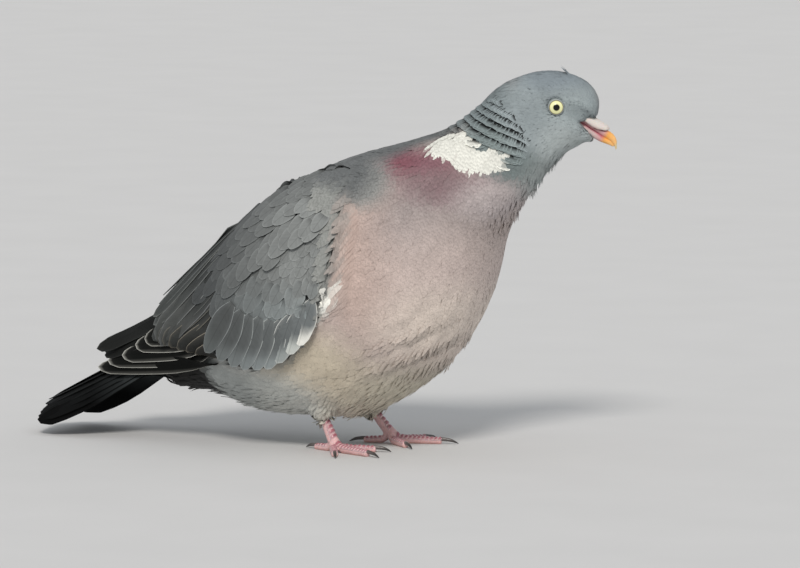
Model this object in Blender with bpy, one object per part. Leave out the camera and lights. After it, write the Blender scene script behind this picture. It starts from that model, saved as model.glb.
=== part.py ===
"""A life-size common wood pigeon, standing still with its neck stretched forward.

+X is the way the trunk faces, +Y is the bird's left, +Z is up, and the soles of the toes are at z = 0.
Tables are in millimetres and turn into metres where a point is made.
"""

import math

import bmesh
import bpy
import numpy as np
from mathutils import Matrix, Vector
from mathutils.bvhtree import BVHTree

MM = 0.001
GAP = 0.4  # clearance between two solids that touch

# The trunk, wings and tail share one straight line that climbs from the tail's tip to the shoulders.
BODY_PITCH = math.radians(27)

# The trunk in its pitched frame: distance along it, then height of the back and of the belly, and half width.
TRUNK_SECTIONS = [
    (-112, 121, 91, 16),  # root of the tail
    (-96, 125.5, 84, 24),  # rump
    (-74, 134.5, 62, 36),  # vent
    (-44, 149, 42, 50),  # hips
    (-8, 163, 27.5, 58),  # belly
    (28, 168.5, 27, 60),  # midriff
    (60, 165.5, 37, 56),  # breast
]

# Breast to bill, level with the ground: back x, z, then front x, z, and half width.
NECK_SECTIONS = [
    (5, 182, 56, 98, 50),  # upper breast
    (21, 187, 64.5, 129, 42.5),  # crop
    (36.5, 193.5, 78, 150, 34),  # base of the neck
    (50, 205, 87, 161.5, 27),  # middle of the neck
]
HEAD_SECTIONS = [
    (64, 217, 97, 173, 20.5),  # nape and throat
    (88, 224.4, 104.5, 178.5, 16),  # just behind the eye
    (107.5, 220.8, 110.5, 182.3, 12.8),  # in front of the eye
    (115.8, 214.8, 112.8, 184.8, 10),  # forehead and chin
    (119.6, 207.5, 113.4, 186.2, 7.8),  # brow
    (119.0, 200, 113.2, 187.6, 5.8),  # base of the bill
]
ROUNDNESS = 2.15  # 2 is an ellipse, and more is fuller at the corners of a section

NECK_PIVOT = (35.5, 0.0)  # the upright axis that the head turns about
HEAD_TURN = math.radians(22)  # to the bird's left
RING_POINTS = 26

EYE_RADIUS = 5.3
EYE_BULGE = 1.9  # how far the eyeball stands out of the side of the head
EYE_PLACE = (94.3, 203.8)  # x, z

# The outside of the folded wings, in the pitched frame: along, crown, height of the widest line, half width.
WING_BED = [
    (-100, 138.5, 111, 32),
    (-60, 152.5, 100, 50),
    (-30, 163, 98, 61),
    (0, 170.5, 98, 65.5),
    (28, 174, 98, 65.5),
    (50, 172, 99, 62.5),
    (70, 169, 100, 58.5),
]
# Where the wing's top and bottom edges lie round that bed, in degrees from the spine down: along, top, bottom.
WING_EDGES = [
    (-99, 12, 63),
    (-93, 8, 73),
    (-80, 7, 85),
    (-58, 8, 101),
    (-36, 10, 112),
    (0, 14, 108),
    (25, 20, 96),
    (45, 26, 79),
    (56, 29, 64),
    (63, 32, 52),
    (67, 36, 43),
]
WING_THICKNESS = 4.2
WING_EDGE_THICKNESS = 1.4

# The closed fan of flight feathers that shows behind the wing: along, crown, widest line, half width, edges.
FLIGHT_BED = [
    (-66, 146, 99, 44, 30, 100),
    (-98, 137.5, 109, 29, 24, 101),
    (-118, 136.5, 111, 26, 20, 95),
    (-138, 134.5, 113.5, 22, 24, 86),
    (-149, 131.5, 115.5, 18.5, 42, 76),
    (-152.5, 130, 116.5, 17, 56, 68),
]
FLIGHT_THICKNESS = 2.2

# The closed tail: along, height of its ridge, keel under it, half width, droop of its side edges.
TAIL_SECTIONS = [
    (-112.5, 120.5, 91, 17, 7),
    (-122, 120.5, 93, 22, 13),
    (-138, 121, 97, 26, 17),
    (-156, 121.5, 104, 28.5, 18),
    (-178, 121, 112, 30, 17.5),
    (-193, 120.5, 117.5, 30.5, 16.5),
    (-198, 120.3, 118.3, 27, 13),
]

BILL_BASE = (111.2, 193.8)  # x, z of the corner of the gape
BILL_DROP = math.radians(33)  # the bill points this far below level
# Along the bill from the gape: ridge above the gape's line, lower edge, half width.
UPPER_BILL = [
    (0, 6.0, 0.3, 4.4),
    (5, 6.1, 0.25, 4.0),
    (9, 5.6, 0.25, 3.3),
    (12.5, 5.4, 0.3, 2.8),
    (16.4, 5.5, 0.35, 2.6),
    (19.4, 4.4, 0.2, 2.3),
    (21.4, 2.7, -0.5, 1.7),
    (22.9, 0.6, -1.7, 0.9),
    (23.5, -1.0, -2.2, 0.4),
]
LOWER_BILL = [
    (0, -0.2, -5.0, 4.0),
    (7.7, -0.2, -4.6, 3.3),
    (12.5, -0.15, -4.0, 2.7),
    (17, -0.1, -3.1, 2.1),
    (19.8, -0.35, -2.6, 1.4),
    (21.2, -1.2, -2.4, 0.7),
]
CERE_CENTRE = (6.8, 5.3)  # along the bill and above the gape's line
CERE_HALF = (6.2, 3.1, 4.7)  # half length, height and width

LEG_SPREAD = 25.0  # of each foot from the middle
FOOT_X = {"right": -31.5, "left": -18.5}
ANKLE_ABOVE = 8.0  # height of the foot's joint over the ground
TARSUS_BACK = {"right": 12.0, "left": 21.0}  # how far the hock lies behind the foot
TARSUS_RISE = 24.0
TARSUS_RADIUS = (3.1, 2.7, 3.0)  # hock, middle and foot
THIGH_RADIUS = (17.0, 11.5, 5.8)
THIGH_RISE = 30.0

# Toe: which way it points on the right and on the left foot, in degrees from +X towards its own side,
# then the length of its pads, its radius at root and tip, and the length of its claw.
TOES = {
    "middle": (24, 16, 31.0, 2.7, 2.1, 9.0),
    "inner": (-19, -42, 25.0, 2.5, 2.0, 8.0),
    "outer": (62, 52, 24.0, 2.5, 1.9, 7.5),
    "hind": (204, 193, 15.0, 2.4, 1.9, 8.0),
}
PAD_FLAT = 0.35  # how much of a toe's underside is flattened by its weight

COLOURS = {
    "plumage_grey": ("8a9299", 0.8),
    "plumage_neck": ("6f7f80", 0.6),
    "plumage_pink": ("c4aba4", 0.85),
    "flight_slate": ("33363b", 0.7),
    "bill_orange": ("e39a3c", 0.4),
    "cere_white": ("ddd6cf", 0.7),
    "leg_red": ("b5596a", 0.55),
    "claw_horn": ("3a3532", 0.35),
    "eye_yellow": ("dfdc9c", 0.08),
}


def linear(hex_colour):
    channels = [int(hex_colour[i : i + 2], 16) / 255 for i in (0, 2, 4)]
    return [c / 12.92 if c <= 0.04045 else ((c + 0.055) / 1.055) ** 2.4 for c in channels]


def make_material(name):
    hex_colour, roughness = COLOURS[name]
    material = bpy.data.materials.new(name)
    material.use_nodes = True
    shader = material.node_tree.nodes["Principled BSDF"]
    shader.inputs["Base Color"].default_value = (*linear(hex_colour), 1)
    shader.inputs["Roughness"].default_value = roughness
    shader.inputs["Metallic"].default_value = 0
    return material


def smooth_through(table):
    """A function of the table's first column that gives its other columns, by natural cubic splines."""
    rows = np.array(sorted(table), float)
    at, values = rows[:, 0], rows[:, 1:]
    step = np.diff(at)
    count = len(at)
    system, right = np.eye(count), np.zeros_like(values)
    for i in range(1, count - 1):
        system[i, i - 1 : i + 2] = step[i - 1], 2 * (step[i - 1] + step[i]), step[i]
        slopes = np.diff(values[i - 1 : i + 2], axis=0) / step[i - 1 : i + 1, None]
        right[i] = 6 * (slopes[1] - slopes[0])
    bend = np.linalg.solve(system, right)

    def value(x):
        i = int(np.clip(np.searchsorted(at, x) - 1, 0, count - 2))
        a, b = at[i + 1] - x, x - at[i]
        h = step[i]
        return (
            (bend[i] * a**3 + bend[i + 1] * b**3) / (6 * h)
            + (values[i] / h - bend[i] * h / 6) * a
            + (values[i + 1] / h - bend[i + 1] * h / 6) * b
        )

    return value


def pitched(along, up):
    """x and z of a point of the pitched body frame."""
    sine, cosine = math.sin(BODY_PITCH), math.cos(BODY_PITCH)
    return along * cosine - up * sine, along * sine + up * cosine


def body_point(along, side, up):
    x, z = pitched(along, up)
    return Vector((x, side, z))


def body_table():
    """The whole body as one table: distance along its middle line, then back x, z, front x, z and half width."""
    rows = [(*pitched(a, back), *pitched(a, belly), half) for a, back, belly, half in TRUNK_SECTIONS]
    rows += NECK_SECTIONS + HEAD_SECTIONS
    middles = [((r[0] + r[2]) / 2, (r[1] + r[3]) / 2) for r in rows]
    travelled = [0.0]
    for before, after in zip(middles, middles[1:], strict=False):
        travelled.append(travelled[-1] + math.dist(before, after))
    return [(s, *row) for s, row in zip(travelled, rows, strict=True)]


BODY_TABLE = body_table()
body_at = smooth_through(BODY_TABLE)
FIRST_NECK = len(TRUNK_SECTIONS) + 1  # the crop's row
FIRST_HEAD = len(TRUNK_SECTIONS) + len(NECK_SECTIONS)
NECK_CUT = BODY_TABLE[FIRST_NECK][0] + 3
HEAD_CUT = BODY_TABLE[FIRST_HEAD][0] - 4
BODY_END = BODY_TABLE[-1][0]
TURN_START = BODY_TABLE[FIRST_NECK][0]


def rounded(angle, power=ROUNDNESS):
    """Cosine and sine of a superellipse."""
    c, s = math.cos(angle), math.sin(angle)
    return (
        math.copysign(abs(c) ** (2 / power), c),
        math.copysign(abs(s) ** (2 / power), s),
    )


def head_turn_at(s):
    """How far the neck has turned at s: none at the crop, and all of it where the head starts."""
    share = min(max((s - TURN_START) / (HEAD_CUT - TURN_START), 0), 1)
    return HEAD_TURN * share * share * (3 - 2 * share)


def turned(point, angle):
    x, y = point.x - NECK_PIVOT[0], point.y - NECK_PIVOT[1]
    return Vector(
        (
            NECK_PIVOT[0] + x * math.cos(angle) - y * math.sin(angle),
            NECK_PIVOT[1] + x * math.sin(angle) + y * math.cos(angle),
            point.z,
        )
    )


def body_ring(s):
    """One section of the body at s."""
    back_x, back_z, front_x, front_z, half_width = body_at(s)
    back, front = Vector((back_x, 0, back_z)), Vector((front_x, 0, front_z))
    middle, half = (back + front) / 2, (back - front) / 2
    ring = []
    for i in range(RING_POINTS):
        high, wide = rounded(2 * math.pi * i / RING_POINTS)
        point = middle + half * high - Vector((0, half_width * wide, 0))
        ring.append(turned(point, head_turn_at(s)))
    return ring


def body_rings(start, end, count):
    return [body_ring(start + (end - start) * i / (count - 1)) for i in range(count)]


def new_object(name, mesh_or_bm, material=None):
    if isinstance(mesh_or_bm, bmesh.types.BMesh):
        bmesh.ops.recalc_face_normals(mesh_or_bm, faces=mesh_or_bm.faces)
        if mesh_or_bm.calc_volume(signed=True) < 0:
            bmesh.ops.reverse_faces(mesh_or_bm, faces=mesh_or_bm.faces)
        mesh = bpy.data.meshes.new(name)
        mesh_or_bm.to_mesh(mesh)
        mesh_or_bm.free()
    else:
        mesh = mesh_or_bm
    mesh.shade_smooth()
    obj = bpy.data.objects.new(name, mesh)
    bpy.context.scene.collection.objects.link(obj)
    if material:
        obj.data.materials.append(material)
    return obj


def loft(rings, round_ends=0.0):
    """A closed bmesh through rings of points in millimetres, with an end cap that bulges by round_ends."""
    bm = bmesh.new()
    rows = [[bm.verts.new(point * MM) for point in ring] for ring in rings]
    for near, far in zip(rows, rows[1:], strict=False):
        for i in range(len(near)):
            j = (i + 1) % len(near)
            bm.faces.new((near[i], near[j], far[j], far[i]))
    for row, inner in ((rings[0], rings[1]), (rings[-1], rings[-2])):
        middle = sum(row, Vector()) / len(row)
        outwards = (middle - sum(inner, Vector()) / len(inner)).normalized()
        verts = rows[0] if row is rings[0] else rows[-1]
        tip = bm.verts.new((middle + outwards * round_ends) * MM)
        for i in range(len(verts)):
            bm.faces.new((verts[i], verts[(i + 1) % len(verts)], tip))
    return bm


def slab(outer, inner):
    """A closed bmesh between two grids of points in millimetres, of the same rows and columns."""
    bm = bmesh.new()
    grids = [[[bm.verts.new(p * MM) for p in row] for row in grid] for grid in (outer, inner)]
    rows, columns = len(outer), len(outer[0])
    for grid in grids:
        for i in range(rows - 1):
            for j in range(columns - 1):
                bm.faces.new((grid[i][j], grid[i + 1][j], grid[i + 1][j + 1], grid[i][j + 1]))
    border = [(i, 0) for i in range(rows)]
    border += [(rows - 1, j) for j in range(1, columns)]
    border += [(i, columns - 1) for i in range(rows - 2, -1, -1)]
    border += [(0, j) for j in range(columns - 2, 0, -1)]
    for (i, j), (k, m) in zip(border, border[1:] + border[:1], strict=True):
        bm.faces.new((grids[0][i][j], grids[0][k][m], grids[1][k][m], grids[1][i][j]))
    return bm


def cutter(name, bm):
    """A helper that cuts others and is no part of the bird."""
    obj = new_object(name, bm)
    obj.hide_render = True
    obj.display_type = "WIRE"
    return obj


def clearance(obj):
    """A cutter that is the shape of obj and a gap larger all round."""
    bm = bmesh.new()
    bm.from_mesh(obj.data)
    bm.normal_update()
    moves = [vert.normal * vert.calc_shell_factor() * GAP * MM for vert in bm.verts]
    for vert, move in zip(bm.verts, moves, strict=True):
        vert.co += move
    return cutter(f"{obj.name}_clearance", bm)


def cut(obj, tool, operation="DIFFERENCE"):
    modifier = obj.modifiers.new(f"{operation.title()} {tool.name}", "BOOLEAN")
    modifier.operation = operation
    modifier.object = tool
    modifier.solver = "EXACT"


def ellipse_ring(middle, up, side, high, low, half_width, count):
    """A section with its own height above and below its middle."""
    ring = []
    for i in range(count):
        a = 2 * math.pi * i / count
        rise = math.cos(a) * (high if math.cos(a) > 0 else low)
        ring.append(middle + up * rise + side * (half_width * math.sin(a)))
    return ring


def make_body(materials):
    """Trunk, neck and head: one flowing form, parted by two thin cuts."""
    parts = {
        "trunk": (0, NECK_CUT - GAP / 2, 24, materials["plumage_pink"]),
        "neck": (NECK_CUT + GAP / 2, HEAD_CUT - GAP / 2, 9, materials["plumage_neck"]),
        "head": (HEAD_CUT + GAP / 2, BODY_END, 16, materials["plumage_grey"]),
    }
    made = {}
    for name, (start, end, count, material) in parts.items():
        made[name] = new_object(name, loft(body_rings(start, end, count)), material)
    return made


def make_eyes(head, materials):
    """Two eyeballs, each in a socket that is cut a gap wider."""
    tree = BVHTree.FromObject(head, bpy.context.evaluated_depsgraph_get())
    centre_plane = turned(Vector((EYE_PLACE[0], 0, EYE_PLACE[1])), HEAD_TURN)
    for side, sign in (("right", -1), ("left", 1)):
        outwards = Matrix.Rotation(HEAD_TURN, 3, "Z") @ Vector((0, sign, 0))
        skin, *_ = tree.ray_cast((centre_plane + outwards * 60) * MM, -outwards)
        centre = skin - outwards * (EYE_RADIUS - EYE_BULGE) * MM
        for name, radius, is_socket in (
            (f"eye_{side}", EYE_RADIUS, False),
            (f"socket_{side}", EYE_RADIUS + GAP, True),
        ):
            bm = bmesh.new()
            bmesh.ops.create_uvsphere(bm, u_segments=14, v_segments=8, radius=radius * MM)
            bm.transform(Matrix.Translation(centre))
            if is_socket:
                cut(head, cutter(name, bm))
            else:
                new_object(name, bm, materials["eye_yellow"])


def bill_point(along, side, up):
    """A point of the bill's own frame, before the head is turned."""
    sine, cosine = math.sin(BILL_DROP), math.cos(BILL_DROP)
    x = BILL_BASE[0] + along * cosine + up * sine
    z = BILL_BASE[1] - along * sine + up * cosine
    return turned(Vector((x, side, z)), HEAD_TURN)


def bill_loft(table, count):
    at = smooth_through(table)
    start, end = table[0][0], table[-1][0]
    rings = []
    for i in range(count):
        along = start + (end - start) * i / (count - 1)
        top, bottom, half_width = at(along)
        ring = []
        for j in range(14):
            high, wide = rounded(2 * math.pi * j / 14)
            up = (top + bottom) / 2 + (top - bottom) / 2 * high
            ring.append(bill_point(along, half_width * wide, up))
        rings.append(ring)
    return loft(rings)


def make_bill(face, materials):
    """Upper and lower bill, and the swollen cere over the nostrils."""
    upper = new_object("bill_upper", bill_loft(UPPER_BILL, 12), materials["bill_orange"])
    lower = new_object("bill_lower", bill_loft(LOWER_BILL, 9), materials["bill_orange"])
    bm = bmesh.new()
    bmesh.ops.create_uvsphere(bm, u_segments=14, v_segments=9, radius=1)
    for vert in bm.verts:
        along = CERE_CENTRE[0] + CERE_HALF[0] * vert.co.x
        up = CERE_CENTRE[1] + CERE_HALF[1] * vert.co.z
        vert.co = bill_point(along, CERE_HALF[2] * vert.co.y, up) * MM
    cere = new_object("cere", bm, materials["cere_white"])
    cut(cere, clearance(upper))
    for piece in (upper, lower, cere):
        cut(piece, face)


def bed_point(along, degrees, bed, sign, inset=0.0):
    """A point of the folded wings' outside, inset millimetres nearer the bird's middle line."""
    crown, widest, half_width = bed(along)[:3]
    high, wide = rounded(math.radians(degrees))
    return body_point(
        along,
        sign * (half_width - inset) * wide,
        widest + (crown - widest - inset) * high,
    )


def wing_slab(sign):
    """One folded wing, thin at its edges."""
    bed, edges = smooth_through(WING_BED), smooth_through(WING_EDGES)
    rear, front = WING_EDGES[0][0], WING_EDGES[-1][0]
    rows, columns = 19, 9
    outer, inner = [], []
    for i in range(rows):
        along = rear + (front - rear) * i / (rows - 1)
        top, bottom = edges(along)
        outer_row, inner_row = [], []
        for j in range(columns):
            share = j / (columns - 1)
            degrees = top + (bottom - top) * share
            to_edge = min(share, 1 - share, i / (rows - 1), 1 - i / (rows - 1))
            rise = math.sin(min(to_edge / 0.22, 1) * math.pi / 2)
            thickness = WING_EDGE_THICKNESS + (WING_THICKNESS - WING_EDGE_THICKNESS) * rise
            outer_row.append(bed_point(along, degrees, bed, sign))
            inner_row.append(bed_point(along, degrees, bed, sign, thickness))
        outer.append(outer_row)
        inner.append(inner_row)
    return slab(outer, inner)


def flight_slab(sign):
    """The long feathers of one closed wing, tucked under it in front and free behind."""
    bed = smooth_through(FLIGHT_BED)
    start, end = FLIGHT_BED[0][0], FLIGHT_BED[-1][0]
    rows, columns = 12, 7
    grids = [[], []]
    for i in range(rows):
        along = start + (end - start) * i / (rows - 1)
        top, bottom = bed(along)[3:]
        for grid, inset in zip(grids, (0, FLIGHT_THICKNESS), strict=True):
            row = []
            for j in range(columns):
                degrees = top + (bottom - top) * j / (columns - 1)
                row.append(bed_point(along, degrees, bed, sign, inset))
            grid.append(row)
    return slab(*grids)


def tail_slab():
    """The closed tail with the coverts under its root, roofed down to both sides."""
    at = smooth_through(TAIL_SECTIONS)
    start, end = TAIL_SECTIONS[0][0], TAIL_SECTIONS[-1][0]
    rows, columns = 13, 11
    grids = [[], []]
    for i in range(rows):
        along = start + (end - start) * i / (rows - 1)
        ridge, keel, half_width, droop = at(along)
        top_row, bottom_row = [], []
        for j in range(columns):
            across = 2 * j / (columns - 1) - 1
            top = ridge - droop * abs(across) ** 1.8
            depth = 1.2 + (ridge - keel - 1.2) * max(1 - across * across, 0) ** 1.1
            top_row.append(body_point(along, half_width * across, top))
            bottom_row.append(body_point(along, half_width * across, top - depth))
        grids[0].append(top_row)
        grids[1].append(bottom_row)
    return slab(*grids)


def make_wings_and_tail(trunk_room, materials):
    tail = new_object("tail", tail_slab(), materials["flight_slate"])
    tail_room = clearance(tail)
    for side, sign in (("right", -1), ("left", 1)):
        wing = new_object(f"wing_{side}", wing_slab(sign), materials["plumage_grey"])
        flight = new_object(f"flight_{side}", flight_slab(sign), materials["flight_slate"])
        cut(wing, trunk_room)
        for room in (trunk_room, tail_room, clearance(wing)):
            cut(flight, room)


def tube(path, radii, count):
    """A bmesh tube in millimetres round a path, with a rounded end."""
    rings = []
    side = (path[1] - path[0]).cross(Vector((0, 0, 1)))
    for i, point in enumerate(path):
        before, after = path[max(i - 1, 0)], path[min(i + 1, len(path) - 1)]
        along = (after - before).normalized()
        side = (side - along * side.dot(along)).normalized()
        up = side.cross(along).normalized()
        rings.append(ellipse_ring(point, up, side, radii[i], radii[i], radii[i], count))
    return loft(rings, radii[-1] * 0.35)


def sole_flat(bm):
    """Cuts off what lies below the ground, so that a toe rests on a small flat."""
    geometry = bm.verts[:] + bm.edges[:] + bm.faces[:]
    bmesh.ops.bisect_plane(
        bm, geom=geometry, plane_co=(0, 0, 0), plane_no=(0, 0, -1), clear_outer=True
    )
    open_edges = [edge for edge in bm.edges if edge.is_boundary]
    bmesh.ops.contextual_create(bm, geom=open_edges)
    return bm


def make_foot(side, sign, materials):
    """Four toes on one palm, each with its claw."""
    joint = Vector((FOOT_X[side], sign * LEG_SPREAD, 0))
    steps = 7
    toes = []
    for toe, (*points, length, root, tip, claw_length) in TOES.items():
        heading = sign * math.radians(points[side == "left"])
        ahead = Vector((math.cos(heading), math.sin(heading), 0))
        path, radii = [], []
        for i in range(steps):
            share = i / (steps - 1)
            radius = root + (tip - root) * share
            knuckle = 1 + 0.07 * math.cos(share * 3 * 2 * math.pi)
            arch = (ANKLE_ABOVE - 2.6) * max(1 - share / 0.3, 0) ** 2
            path.append(joint + ahead * (length * share) + Vector((0, 0, radius - PAD_FLAT + arch)))
            radii.append(radius * knuckle)
        name = "foot_" + side if toe == "middle" else f"{toe}_toe_{side}"
        bm = sole_flat(tube(path, radii, 10))
        if toe == "middle":
            foot = new_object(name, bm, materials["leg_red"])
        else:
            toes.append(cutter(name, bm))
        # The claw starts a gap past the toe's rounded end and curves down to the ground.
        claw_path, claw_radii = [], []
        reach = length + tip * 0.35 + GAP + 0.3
        for i in range(6):
            share = i / 5
            drop = (tip + 0.5) * (1 - share**1.8)
            claw_path.append(joint + ahead * (reach + claw_length * share) + Vector((0, 0, drop + 0.35)))
            claw_radii.append(1.25 * (1 - share) ** 0.75 + 0.22)
        new_object(f"claw_{toe}_{side}", tube(claw_path, claw_radii, 7), materials["claw_horn"])
    for tool in toes:
        cut(foot, tool, "UNION")
    return joint


def make_leg(side, sign, trunk_room, materials):
    """A bare scaly tarsus under a short feathered thigh, both cut clear of what they meet."""
    joint = make_foot(side, sign, materials)
    foot_top = joint + Vector((0, 0, ANKLE_ABOVE - 1.5))
    hock = joint + Vector((-TARSUS_BACK[side], -sign * 1.5, ANKLE_ABOVE + TARSUS_RISE))
    tarsus_path = [foot_top.lerp(hock, i / 5) for i in range(6)]
    low, middle, high = TARSUS_RADIUS[2], TARSUS_RADIUS[1], TARSUS_RADIUS[0]
    radii = [low + 0.2, low, middle, middle, high, high]
    shank = cutter(f"tarsus_{side}", tube(tarsus_path, radii, 14))
    cut(bpy.data.objects["foot_" + side], shank, "UNION")
    # The thigh's feathers hide the hock, so the bare shank ends where the thigh begins.
    along = (hock - foot_top).normalized()
    collar = foot_top + along * 14.5 + Vector((0.6, sign * 0.3, 0))
    up_to = collar + along * 6 + Vector((4, 0, THIGH_RISE))
    thigh_path = [collar, collar + along * 4, collar.lerp(up_to, 0.5), up_to]
    thigh_radii = [THIGH_RADIUS[2], THIGH_RADIUS[2] + 2.6, THIGH_RADIUS[1], THIGH_RADIUS[0]]
    thigh = new_object(f"thigh_{side}", tube(thigh_path, thigh_radii, 16), materials["plumage_pink"])
    cut(thigh, trunk_room)
    cut(thigh, clearance(shank))
    cut(bpy.data.objects["foot_" + side], trunk_room)


def centre_on_origin():
    """Hangs the bird on an empty that puts the origin under the middle of its box."""
    bpy.context.view_layer.update()
    graph = bpy.context.evaluated_depsgraph_get()
    solids = [o for o in bpy.context.scene.objects if o.type == "MESH" and not o.hide_render]
    points = []
    for obj in solids:
        shape = obj.evaluated_get(graph)
        points += [shape.matrix_world @ vert.co for vert in shape.data.vertices]
    low = [min(p[i] for p in points) for i in range(3)]
    high = [max(p[i] for p in points) for i in range(3)]
    middle = bpy.data.objects.new("middle_of_the_box", None)
    bpy.context.scene.collection.objects.link(middle)
    for obj in bpy.context.scene.objects:
        if obj is not middle:
            obj.parent = middle
    middle.location = (-(low[0] + high[0]) / 2, -(low[1] + high[1]) / 2, -low[2])


def main():
    for obj in list(bpy.data.objects):
        bpy.data.objects.remove(obj)
    materials = {name: make_material(name) for name in COLOURS}
    body = make_body(materials)
    bpy.context.view_layer.update()
    trunk_room = clearance(body["trunk"])
    make_wings_and_tail(trunk_room, materials)
    make_eyes(body["head"], materials)
    make_bill(clearance(body["head"]), materials)
    for side, sign in (("right", -1), ("left", 1)):
        make_leg(side, sign, trunk_room, materials)
    centre_on_origin()


main()
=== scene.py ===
# %% [markdown]
# # A wood pigeon, still and life size
# A mounted bird is a body with a coat of feathers lying over it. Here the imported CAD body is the
# frame, one skin is drawn a few millimetres inside it, and thousands of small vanes cover the
# skin. Painting feathers on a smooth body would be quicker, but it gives a hard edge where a real
# bird has soft tips, so every feather is a mesh. Only the long feathers are closed, with a
# thickness: closing the thousands of short ones would more than double the whole model.

# %% Load the frame
import math

import bmesh
import bpy
import numpy as np
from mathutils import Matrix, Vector
from mathutils.bvhtree import BVHTree
from mathutils.kdtree import KDTree


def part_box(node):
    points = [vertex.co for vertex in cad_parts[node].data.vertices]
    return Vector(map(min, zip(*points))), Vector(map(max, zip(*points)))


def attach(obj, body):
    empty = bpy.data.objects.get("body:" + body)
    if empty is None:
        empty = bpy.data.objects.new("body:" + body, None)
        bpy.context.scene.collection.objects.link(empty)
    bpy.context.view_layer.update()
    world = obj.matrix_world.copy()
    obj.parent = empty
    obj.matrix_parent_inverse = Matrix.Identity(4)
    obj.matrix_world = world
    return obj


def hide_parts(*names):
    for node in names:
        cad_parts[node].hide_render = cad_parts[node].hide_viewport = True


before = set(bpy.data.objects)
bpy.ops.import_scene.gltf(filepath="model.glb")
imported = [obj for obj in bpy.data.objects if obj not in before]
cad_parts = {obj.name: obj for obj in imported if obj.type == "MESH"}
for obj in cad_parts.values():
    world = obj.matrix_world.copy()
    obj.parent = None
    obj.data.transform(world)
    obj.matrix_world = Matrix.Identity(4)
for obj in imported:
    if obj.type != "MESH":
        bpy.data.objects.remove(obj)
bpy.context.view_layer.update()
MM = 0.001
draw = np.random.default_rng(11)

# %% [markdown]
# ## Small measures
# A few tools serve the whole file. A ramp turns any measure into a share from 0 to 1, and a share
# is eased where a corner would show. Boxes of CAD parts are read in millimetres.

# %% Ramps, directions and boxes
def ramp(value, start, full):
    """0 up to start, 1 from full on, and a straight slope between. full may be the smaller."""
    return np.clip((value - start) / (full - start), 0, 1)


def eased(share):
    return share * share * (3 - 2 * share)


def unit(vectors):
    return vectors / np.maximum(np.linalg.norm(vectors, axis=-1, keepdims=True), 1e-9)


def dome(points, middle, half):
    """1 at the middle of a soft egg, falling away over its half sizes."""
    return np.exp(-(((points - middle) / half) ** 2).sum(1))


def box_mm(node):
    """The low and high corners of a CAD part."""
    return [np.array(corner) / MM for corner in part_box(node)]


# %% [markdown]
# ## The bird set straight
# The head looks 22 degrees to the bird's left. Markings and the lie of the feathers are the same
# on both sides, so they are easiest to state for a straight bird with its left side folded onto
# its right. The two eyes tell how far the head has turned and the upright axis it turned about.

# %% Undo the turn of the head
eye_right, eye_left = (
    np.mean([np.array(corner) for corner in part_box(name)], axis=0) / MM for name in ("eye_right", "eye_left")
)
across = eye_left - eye_right
HEAD_TURN = math.atan2(-across[0], across[1])
EYES = (eye_left + eye_right) / 2
PIVOT_X = EYES[0] - EYES[1] / math.tan(HEAD_TURN)
CROP = (96.3, 158.0)  # where the neck starts to turn, x and z in millimetres
NECK_LENGTH = 48.9
NECK_RISE = (0.714, 0.70)  # the way the neck runs from there


def turn_at(x, z):
    """How far the neck has turned at a place on the straight bird."""
    way = (x - CROP[0]) * NECK_RISE[0] + (z - CROP[1]) * NECK_RISE[1]
    return HEAD_TURN * eased(np.clip(way / NECK_LENGTH, 0, 1))


def spin(points, angle):
    """Points or directions turned about the upright axis of the neck."""
    c, s = np.cos(angle), np.sin(angle)
    x, y = points[:, 0] - PIVOT_X, points[:, 1]
    return np.stack([PIVOT_X + x * c - y * s, x * s + y * c, points[:, 2]], 1)


def turned(ways, angle):
    """Directions turned about the same axis."""
    still = np.array([[PIVOT_X, 0, 0]])
    return spin(ways + still, angle) - still


def straighten(points):
    """The same points on a bird that looks straight ahead, and how far each was turned."""
    angle = turn_at(points[:, 0], points[:, 2])
    for _ in range(4):  # each round comes nearer to the true angle
        straight = spin(points, -angle)
        angle = turn_at(straight[:, 0], straight[:, 2])
    return straight, angle


def fold(points):
    """The left half laid over the right."""
    return points * [1, 0, 1] + np.abs(points) * [0, 1, 0]


print("head turned", round(math.degrees(HEAD_TURN), 1), "about x", round(PIVOT_X, 1))

# %% [markdown]
# ## Axes of the bill
# A bill is easiest to shape along itself. Its axis starts where it leaves the face and drops 33
# degrees, and a point near it has three measures: along the axis, up from it and out from the
# middle of the head.

# %% Axes of the bill
GAPE = np.array([164.8, 0, 193.8])  # where the bill's axis leaves the face, on the straight bird
BILL_DROP = math.radians(33)


def bill_axes(points):
    """How far along the bill, how far above its axis and how far out from its middle."""
    d = straighten(points)[0] - GAPE
    c, s = math.cos(BILL_DROP), math.sin(BILL_DROP)
    return d[:, 0] * c - d[:, 2] * s, d[:, 0] * s + d[:, 2] * c, d[:, 1]


def from_bill_axes(along, up, out):
    """A move along, up and out of the bill as a move in the frame."""
    c, s = math.cos(BILL_DROP), math.sin(BILL_DROP)
    ahead, z = along * c + up * s, up * c - along * s
    c, s = math.cos(HEAD_TURN), math.sin(HEAD_TURN)
    return np.stack([ahead * c - out * s, ahead * s + out * c, z], 1)


# %% [markdown]
# ## How the coat lies
# Each row is one place on the straight bird: the way the feathers point, how deep the coat is,
# and the length, width and spacing of its feathers, all in millimetres. Everywhere else takes a
# mix of the nearest rows. A table of guides is what a groomer sets by hand, and it is far
# shorter than a comb stroke for every feather.

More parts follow.
